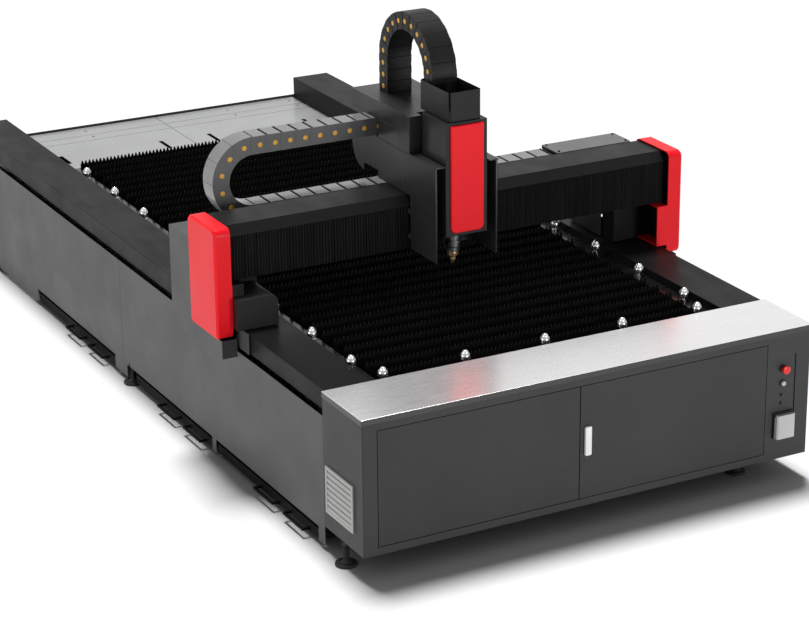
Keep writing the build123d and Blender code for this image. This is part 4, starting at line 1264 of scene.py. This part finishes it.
@dataclass
class Bellows:
    """One pleated cover over the beam's rails, from the gantry's end to the carriage."""

    shop: Shop
    name: str
    gantry_x: float
    carriage_x: float
    pleats: int
    front: float = 1.190
    depth: float = 0.013
    back: float = 1.210
    low_z: float = 0.905
    high_z: float = 1.0997
    rows: int = 7
    sag: float = 0.0014
    wander: float = 0.10
    lean: float = 0.0012
    outer: float = 0.0022
    inner: float = 0.0003

    def _profile(self) -> list[Pair]:
        """Gives the folds from above: sharp pleats that are a little uneven.

        Returns:
            Its (x, y) points, from left to right.
        """
        left, right = sorted((self.gantry_x, self.carriage_x))
        run = (right - left) / self.pleats
        profile = []
        for pleat in range(self.pleats):
            x = left + pleat * run
            wander = self.wander * math.sin(pleat * 1.7) * run
            lean = self.lean * math.sin(pleat * 2.9)
            outer, inner = self.outer + lean * 0.5, self.inner + abs(lean) * 0.3
            profile.append((x, behind(self.front + self.depth)))
            for share, stand in ((0.40, outer), (0.46, inner), (0.54, inner), (0.60, outer)):
                profile.append((x + run * share + wander, behind(self.front + stand)))
        profile.append((right, behind(self.front + self.depth)))
        return profile

    def build(self) -> None:
        """Builds the cover between its two ends, as they stand."""
        shape = bmesh.new()
        profile, back = self._profile(), behind(self.back)
        grid = []
        for row in range(self.rows):
            share = row / (self.rows - 1)
            z = self.low_z + (self.high_z - self.low_z) * share
            sag = self.sag * math.sin(math.pi * share)
            grid.append([shape.verts.new((x, min(y + sag, back), z)) for x, y in profile])
        rear = [
            [shape.verts.new((x, back, z)) for x, _ in profile] for z in (self.low_z, self.high_z)
        ]
        strips = [*zip(grid, grid[1:]), (grid[0], rear[0]), (grid[-1], rear[1]), tuple(rear)]
        for lower, upper in strips:
            for corners_of_face in zip(lower, lower[1:], upper[1:], upper):
                shape.faces.new(corners_of_face)
        for side in (0, -1):
            shape.faces.new([row[side] for row in grid] + [rear[1][side], rear[0][side]])
        piece = new_piece(f"{self.name}_pleats", shape, 12)
        self.shop.palette.dress(piece, "bellows_cloth")
        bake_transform(piece)
        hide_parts(self.name)
        log.info("%s stretches between the gantry and the carriage", piece.name)


@dataclass
class Gantry:
    """The beam, its covers, bellows, end caps, housings, tray and drives."""

    shop: Shop
    lid_screws_x: Pair = (0.728, 1.091)
    lid_screws_y: Pair = (1.512, 1.627)
    lid_z: float = 1.1160
    bellows: tuple[tuple[str, float, float, int], ...] = (
        ("bellows_left", -1.0947, -0.2233, 62), ("bellows_right", 1.0947, 0.0813, 74),
    )

    def build(self) -> None:
        """Builds and dresses the gantry's pieces."""
        self.shop.eased("beam_cover", "gantry_dark", 0.0008)
        self.shop.eased("gantry_beam", "gantry_dark", 0.0015)
        self.shop.eased("end_caps", "signal_red", 0.0055, 4)
        self.shop.eased("end_housings", "housing_grey", 0.0009)
        self.shop.eased("foot_box", "box_black", 0.002)
        self.shop.eased("junction_box", "box_grey", 0.002, 3)
        self.shop.eased("chain_tray", "gantry_dark", 0.0007)
        self.shop.eased("gantry_columns", "gantry_dark", 0.001)
        self.shop.plain("rail_ground", "beam_rails", "gantry_guide_blocks")
        self.shop.plain("motor_black", "gantry_motors")
        self.shop.plain("rack_ground", "gantry_pinion_left", "gantry_pinion_right")
        for ends in self.bellows:
            Bellows(self.shop, *ends).build()
        lid = [(x, behind(y), self.lid_z) for x in self.lid_screws_x for y in self.lid_screws_y]
        self.shop.screws("junction_lid_screws", lid, "gantry", "screw_black")


@dataclass
class Carriage:
    """The carriage and the lifting unit with its red cover, hood and cutting head."""

    shop: Shop
    head_x: float = -0.071
    head_distance: float = 1.081
    clamp_half: float = 0.020
    clamp_distances: Pair = (1.108, 1.118)
    clamp_heights: Pair = (1.040, 1.100)
    head: Outline = (
        (0, 0.9055), (0.028, 0.9055), (0.0300, 0.908), (0.0300, 0.924), (0.0345, 0.929),
        (0.0345, 0.938), (0.0370, 0.9395), (0.0370, 0.957), (0.0350, 0.9585), (0.0350, 0.962),
        (0.0372, 0.9635), (0.0372, 0.984), (0.0355, 0.9855), (0.0355, 0.989), (0.0372, 0.9905),
        (0.0372, 1.010), (0.0360, 1.013), (0.0270, 1.0138), (0.0268, 1.1148), (0, 1.1148),
    )
    nozzle: Outline = (
        (0, 0.8452), (0.0046, 0.8452), (0.0052, 0.8460), (0.0118, 0.8610), (0.0126, 0.8640),
        (0.0126, 0.8760), (0.0170, 0.8780), (0.0236, 0.8845), (0.0240, 0.8880),
        (0.0240, 0.9040), (0.0232, 0.9052), (0, 0.9052),
    )

    def build(self) -> None:
        """Builds and dresses the carriage's and the unit's pieces."""
        self.shop.eased("carriage_frame", "carriage_dark", 0.0012)
        self.shop.eased("carriage_top_plate", "carriage_top", 0.001)
        self.shop.eased("carriage_upper_box", "carriage_dark", 0.002, 3)
        self.shop.plain("rail_ground", "carriage_guide_blocks", "lift_rails", "lift_screw")
        self.shop.plain("motor_black", "carriage_motors")
        self.shop.plain("rack_ground", "carriage_pinion")
        self.shop.eased("lift_frame", "unit_dark", 0.0012)
        self.shop.eased("head_cover", "cover_red", 0.0022, 3)
        self.shop.eased("hood", "hood_dark", 0.0014, 3)
        self._head()

    def _head(self) -> None:
        """Turns the cutting head's body with its clamp rings, and the nozzle."""
        centre = (self.head_x, behind(self.head_distance), 0.0)
        shape = bmesh.new()
        add_lathe(shape, self.head, centre, 48)
        (near, far), (low, high) = self.clamp_distances, self.clamp_heights
        left, right = self.head_x - self.clamp_half, self.head_x + self.clamp_half
        add_box(shape, (left, behind(near), low), (right, behind(far), high))
        self.shop.keep(new_piece("head_body", shape), "head_steel", "lift", "cutting_head")
        self.shop.turned(
            "nozzle_turned", self.nozzle, centre, 40, Axis.Z, "nozzle_brass", "lift", "nozzle"
        )


@dataclass
class CableChain:
    """The parts of one chain's links, built along X round the origin."""

    width: float
    pitch: float
    lid_share: float = 0.84
    height: float = 0.080
    plate: float = 0.005
    plate_drop: float = 0.0008
    lid_drop: float = 0.0024
    pin_radius: float = 0.0112
    pin_proud: float = 0.0016
    step_in: float = 0.0014
    lid: float = 0.007
    groove_width: float = 0.0016
    groove_depth: float = 0.0022
    laps: Pair = (-0.001, 0.008)
    nose: float = 0.010
    arc_steps: int = 8

    def sides(self, shape: Shape, spread: float = 0.0) -> None:
        """Builds the cranked side plates of one link, with rounded ends that overlap.

        Args:
            shape: The bmesh to add to.
            spread: How much longer a link's half is at its outer edge than at its middle.
        """
        radius = self.height / 2 - self.plate_drop
        angles = [math.pi * i / self.arc_steps for i in range(self.arc_steps + 1)]
        for side in (-1, 1):
            for layer, (sign, lap) in enumerate(zip((-1, 1), self.laps)):
                outer = self.width / 2 - self.pin_proud - layer * self.step_in
                reach = self.pitch / 2 + lap
                outline = []
                for a in angles:
                    bulge = self.nose * math.sin(a) + spread * math.cos(a)
                    outline.append((sign * (reach + bulge), radius * math.cos(a)))
                near, far = sorted((side * outer, side * (outer - self.plate)))
                add_prism(shape, [*outline, (0.0, -radius), (0.0, radius)], near, far)

    def lids(self, shape: Shape, outer: float, inner: float) -> None:
        """Builds the two snap-in lids of one link.

        Args:
            shape: The bmesh to add to.
            outer: Length of the lid on the +Z side.
            inner: Length of the lid on the -Z side.
        """
        reach = self.width / 2 - self.pin_proud - self.step_in - self.plate * 0.4
        half = self.height / 2
        base, under = half - self.lid_drop, half - self.lid
        top = base + self.groove_depth
        for sign, length in ((1, outer), (-1, inner)):
            end = length / 2
            flat = end - self.groove_width
            outline = [
                (-end, base), (-flat, top), (flat, top), (end, base), (end, under), (-end, under),
            ]
            add_prism(shape, [(x, sign * z) for x, z in outline], -reach, reach)

    def pins(self, shape: Shape) -> None:
        """Builds the two pin heads of one link, at its middle.

        Args:
            shape: The bmesh to add to.
        """
        radius, proud = self.pin_radius, self.pin_proud
        profile = (
            (0, -0.002), (radius, -0.002), (radius, proud * 0.5), (radius * 0.86, proud * 0.95),
            (0, proud * 0.95),
        )
        for side in (-1, 1):
            outline = [(across, -side * height) for across, height in profile]
            add_lathe(shape, outline, (0.0, side * (self.width / 2 - proud), 0.0), 16, Axis.Y)


@dataclass
class Run:
    """A straight run of a chain, and how it stretches."""

    name: str
    start: Point
    step: Point
    count: int
    turn: Matrix
    node: str
    bodies: tuple[str, str]
    span: tuple[Point, Point]


@dataclass
class Bend:
    """A half-circle of a chain, and the body that it rides on."""

    name: str
    centre: Point
    axis: Point
    radius: float
    first: float
    step: float
    count: int
    turn: Matrix
    body: str


@dataclass
class Chains:
    """Both cable chains: along the beam, and up into the hood."""

    shop: Shop
    curl_cuts: tuple[float, ...] = (-0.45, -0.3, -0.15, 0.0, 0.15, 0.3, 0.45)
    pitch: float = 0.075
    gap: Pair = (1.500, 1.610)
    low_z: float = 1.072
    high_z: float = 1.378
    bend_x: float = -0.820
    end_x: float = -0.100
    fixed_x: float = 0.680
    beam_bend_links: int = 6
    upper_span: Pair = (-1.54, -0.10)
    lower_span: Pair = (0.68, -2.32)
    lift_pitch: float = 0.0594
    lift_width: float = 0.125
    lift_x: float = -0.071
    front: float = 1.186
    rear: float = 1.602
    arch_z: float = 1.660
    arch_share: float = 0.982
    hood_z: float = 1.525
    foot_z: float = 1.500
    lift_bend_links: int = 11
    front_links: int = 2
    rear_links: int = 3
    front_span: Pair = (1.795, 1.525)
    rear_span: Pair = (1.5, 1.82)

    def build(self) -> None:
        """Builds both chains."""
        self._beam_chain()
        self._lift_chain()

    def _straight(self, chain: CableChain, run: Run, part: str, finish: str) -> None:
        """Makes one part (sides, lids or pins) of every link of a straight run.

        Args:
            chain: The sizes of its links.
            run: The run.
            part: The name of the method that builds the part.
            finish: The finish's name.
        """

        def make(shape: Shape) -> None:
            """Builds that part of one link and turns it to its place.

            Args:
                shape: The bmesh to add to.
            """
            if part == "lids":
                length = Vector(run.step).length * chain.lid_share
                chain.lids(shape, length, length)
            else:
                getattr(chain, part)(shape)
            shape.transform(run.turn)

        piece = self.shop.copies(
            f"{run.name}_{part}", self.shop.row, make, finish, Count=run.count, Start=run.start,
            Step=run.step, Slack=(0, 0, 0), Seed=SEED,
        )
        self.shop.palette.dress(piece, finish)
        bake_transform(piece)
        if part == "sides":
            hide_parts(run.node)

    def _bend(self, chain: CableChain, bend: Bend, part: str, finish: str) -> Piece:
        """Makes one part (sides, lids or pins) of every link of a half-circle.

        Args:
            chain: The sizes of its links.
            bend: The half-circle.
            part: The name of the method that builds the part.
            finish: The finish's name.

        Returns:
            The part of every link, as one piece.
        """
        half, slope = chain.height / 2, math.tan(abs(bend.step) / 2)

        def make(shape: Shape) -> None:
            """Builds that part of one link and turns it to its place.

            Args:
                shape: The bmesh to add to.
            """
            if part == "lids":
                outer, inner = bend.radius + half, bend.radius - half
                chain.lids(shape, outer * 2 * slope, inner * 2 * slope)
            elif part == "sides":
                chain.sides(shape, half * slope)
            else:
                chain.pins(shape)
            if part != "pins":
                self._curl(shape, chain.pitch, bend.radius)
            shape.transform(bend.turn @ Matrix.Translation((0, 0, bend.radius)))

        piece = self.shop.copies(
            f"{bend.name}_{part}", self.shop.arc, make, finish, Count=bend.count,
            Centre=bend.centre, Axis=bend.axis, First=bend.first, Step=bend.step,
        )
        self.shop.palette.dress(piece, finish)
        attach(piece, bend.body)
        if part == "sides":
            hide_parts(bend.name)
        return piece

    def _curl(self, shape: Shape, reach: float, radius: float) -> None:
        """Curves one flat link along the circle of its bend.

        Args:
            shape: The link, flat and round its own middle.
            reach: How long the link is.
            radius: From the circle's centre to the middle of the link.
        """
        for share in self.curl_cuts:
            whole = shape.verts[:] + shape.edges[:] + shape.faces[:]
            cut = (reach * share, 0, 0)
            bmesh.ops.bisect_plane(shape, geom=whole, dist=1e-6, plane_co=cut, plane_no=(1, 0, 0))
        for vertex in shape.verts:
            distance = radius + vertex.co.z
            turn = math.atan(vertex.co.x / distance)
            vertex.co.x = distance * math.sin(turn)
            vertex.co.z = distance * math.cos(turn) - radius

    def _beam_chain(self) -> None:
        """Builds the chain that lies behind the beam and follows the carriage."""
        near, far = self.gap
        chain = CableChain(far - near, self.pitch)
        middle = behind((near + far) / 2)
        bodies = ("gantry", "carriage")
        step = math.pi / self.beam_bend_links
        bend = Bend(
            "x_chain_bend", (self.bend_x, middle, (self.high_z + self.low_z) / 2), (0, 1, 0),
            (self.high_z - self.low_z) / 2, -step / 2, -step, self.beam_bend_links, Matrix(),
            "x_chain",
        )
        runs = []
        over = Matrix.Rotation(math.pi, 4, "Y")
        for name, end, height, turn, span in (
            ("x_chain_upper", self.end_x, self.high_z, Matrix(), self.upper_span),
            ("x_chain_lower", self.fixed_x, self.low_z, over, self.lower_span),
        ):
            count = round((end - self.bend_x) / self.pitch)
            pitch = (end - self.bend_x) / count
            start = (self.bend_x + pitch / 2, middle, height)
            ends = tuple((x, 0, 0) for x in span)
            runs.append(Run(name, start, (pitch, 0, 0), count, turn, name, bodies, ends))
        looks = {"sides": "chain_grey", "lids": "chain_lid", "pins": "chain_pin"}
        for run in runs:
            for part, finish in looks.items():
                self._straight(chain, run, part, finish)
        for part, finish in looks.items():
            self._bend(chain, bend, part, finish)

    def _lift_chain(self) -> None:
        """Builds the upright chain that drops into the hood."""
        chain = CableChain(self.lift_width, self.lift_pitch, lid_share=1.0)
        across = Matrix.Rotation(QUARTER, 4, "Z")
        upright = across @ Matrix.Rotation(-QUARTER, 4, "Y")
        bodies = ("carriage", "lift")
        middle = behind((self.front + self.rear) / 2)
        step = math.pi / self.lift_bend_links
        bend = Bend(
            "z_chain_bend", (self.lift_x, middle, self.arch_z), (1, 0, 0),
            (self.rear - self.front) / 2, QUARTER - step / 2, -step, self.lift_bend_links,
            across, "z_chain",
        )
        runs = []
        for name, low, distance, count, flip, span in (
            ("z_chain_front", self.hood_z, self.front, self.front_links, "Z", self.front_span),
            ("z_chain_rear", self.foot_z, self.rear, self.rear_links, "X", self.rear_span),
        ):
            pitch = (self.arch_z - low) / count
            start = (self.lift_x, behind(distance), low + pitch / 2)
            turn = Matrix.Rotation(math.pi, 4, flip) @ upright
            ends = tuple((0, 0, z) for z in span)
            runs.append(Run(name, start, (0, 0, pitch), count, turn, name, bodies, ends))
        looks = {"sides": "chain_black", "lids": "chain_black", "pins": "chain_pin"}
        for run in runs:
            for part, finish in looks.items():
                self._straight(chain, run, part, finish)
        for part, finish in looks.items():
            for vertex in self._bend(chain, bend, part, finish).data.vertices:
                vertex.co.z = self.arch_z + (vertex.co.z - self.arch_z) * self.arch_share


# --------------------------------------------------------------------------------------
# Studio
# --------------------------------------------------------------------------------------


@dataclass
class Studio:
    """The pale floor, soft light and the photograph's camera."""

    camera_place: Point = (-5.282, -10.661, 4.678)
    camera_turn: Point = (68.98, 0.0, -29.37)
    lens: float = 116.4
    shift: Pair = (-0.0847, 0.0253)
    world_strength: float = 0.14
    floor_colour: float = 0.93
    floor_reach: float = 60.0
    key_from: Point = (0.05, 0.265, 1.0)
    key_angle: float = 16.0
    key_strength: float = 3.3
    soft_lamps: tuple[tuple[str, Point, Point, float, float], ...] = (
        ("left_soft", (-9.5, -1.5, 1.9), (0.0, 0.0, 0.5), 3.4, 215.0),
        ("front_fill", (2.0, -10.0, 1.3), (0.0, -1.5, 0.6), 2.4, 280.0),
    )

    def build(self) -> None:
        """Builds the camera, world, floor and lamps."""
        self._camera()
        self._world()
        self._lamps(self._floor())
        bpy.context.scene.view_settings.view_transform = "Standard"

    @staticmethod
    def _add(name: str, data: Any) -> Piece:
        """Adds one object to the scene.

        Args:
            name: Its name.
            data: Its mesh, lamp or camera.

        Returns:
            The object.
        """
        thing = bpy.data.objects.new(name, data)
        bpy.context.scene.collection.objects.link(thing)
        return thing

    def _camera(self) -> None:
        """Sets the camera as the photograph has it."""
        data = bpy.data.cameras.new("photo_camera")
        data.sensor_width = 36.0
        data.lens = self.lens
        data.shift_x, data.shift_y = self.shift
        data.clip_end = 100.0
        camera = self._add("photo_camera", data)
        camera.location = self.camera_place
        camera.rotation_euler = [math.radians(angle) for angle in self.camera_turn]
        bpy.context.scene.camera = camera

    def _world(self) -> None:
        """Lights from all round, and shows white to the camera and pale grey in reflections."""
        world = bpy.data.worlds.new("studio")
        bpy.context.scene.world = world
        world.use_nodes = True
        world.node_tree.nodes.clear()
        wiring = Wiring(world.node_tree)

        def sky(colour: Colour, strength: float) -> Any:
            """Adds one even light from all round.

            Args:
                colour: Its colour.
                strength: Its strength.

            Returns:
                The shader's socket.
            """
            node = wiring.add("ShaderNodeBackground")
            node.inputs["Color"].default_value = (*colour, 1)
            node.inputs["Strength"].default_value = strength
            return node.outputs[0]

        def choose(share: Any, first: Any, second: Any) -> Any:
            """Mixes two shaders by a share.

            Args:
                share: The socket of the second shader's share.
                first: The first shader.
                second: The second shader.

            Returns:
                The shader's socket.
            """
            node = wiring.add("ShaderNodeMixShader")
            for slot, socket in enumerate((share, first, second)):
                wiring.join(socket, node.inputs[slot])
            return node.outputs[0]

        path = wiring.add("ShaderNodeLightPath")
        sharp = wiring.add("ShaderNodeMath", operation="MAXIMUM")
        wiring.join(path.outputs["Is Glossy Ray"], sharp.inputs[0])
        wiring.join(path.outputs["Is Transmission Ray"], sharp.inputs[1])
        soft = sky((0.97, 0.98, 1.0), self.world_strength)
        indirect = choose(sharp.outputs[0], soft, sky((0.8, 0.8, 0.8), 1.0))
        seen = choose(path.outputs["Is Camera Ray"], indirect, sky((1.0, 1.0, 1.0), 1.0))
        output = wiring.add("ShaderNodeOutputWorld")
        wiring.join(seen, output.inputs["Surface"])

    def _floor(self) -> Piece:
        """Lays the floor, which the key makes white outside the object's shadow.

        Returns:
            The floor.
        """
        mesh = bpy.data.meshes.new("floor")
        reach = self.floor_reach
        edges = [(-reach, -reach, 0), (reach, -reach, 0), (reach, reach, 0), (-reach, reach, 0)]
        mesh.from_pydata(edges, [], [(0, 1, 2, 3)])
        floor = self._add("floor", mesh)
        material = bpy.data.materials.new("pale_floor")
        material.use_nodes = True
        material.node_tree.nodes.clear()
        wiring = Wiring(material.node_tree)
        diffuse = wiring.add("ShaderNodeBsdfDiffuse")
        diffuse.inputs["Color"].default_value = (*(self.floor_colour,) * 3, 1.0)
        output = wiring.add("ShaderNodeOutputMaterial")
        wiring.join(diffuse.outputs[0], output.inputs["Surface"])
        mesh.materials.append(material)
        return floor

    @staticmethod
    def _aim(lamp: Piece, direction: Vector) -> None:
        """Turns a lamp to shine along a direction."""
        lamp.rotation_mode = "QUATERNION"
        lamp.rotation_quaternion = direction.to_track_quat("-Z", "Y")

    def _lamps(self, floor: Piece) -> None:
        """Adds the key from above and behind, and two soft lamps that spare the floor.

        Args:
            floor: The floor, which the soft lamps leave out.
        """
        data = bpy.data.lights.new("key_behind", "SUN")
        data.angle = math.radians(self.key_angle)
        data.energy = self.key_strength
        self._aim(self._add("key_behind", data), -Vector(self.key_from))
        spared = bpy.data.collections.new("spared_floor")
        spared.objects.link(floor)
        spared.collection_objects[0].light_linking.link_state = "EXCLUDE"
        for name, place, target, size, watts in self.soft_lamps:
            data = bpy.data.lights.new(name, "AREA")
            data.shape = "SQUARE"
            data.size = size
            data.energy = watts
            lamp = self._add(name, data)
            lamp.location = place
            self._aim(lamp, Vector(target) - Vector(place))
            lamp.light_linking.receiver_collection = spared


def main() -> None:
    """Builds the machine piece by piece, then the studio."""
    logging.basicConfig(level=logging.INFO, format="%(name)s: %(message)s")
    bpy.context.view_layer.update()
    shop = Shop()
    for assembly in (Cabinet, Bed, CuttingTable, Gantry, Carriage, Chains):
        assembly(shop).build()
    Studio().build()


if __name__ == "__main__":
    main()
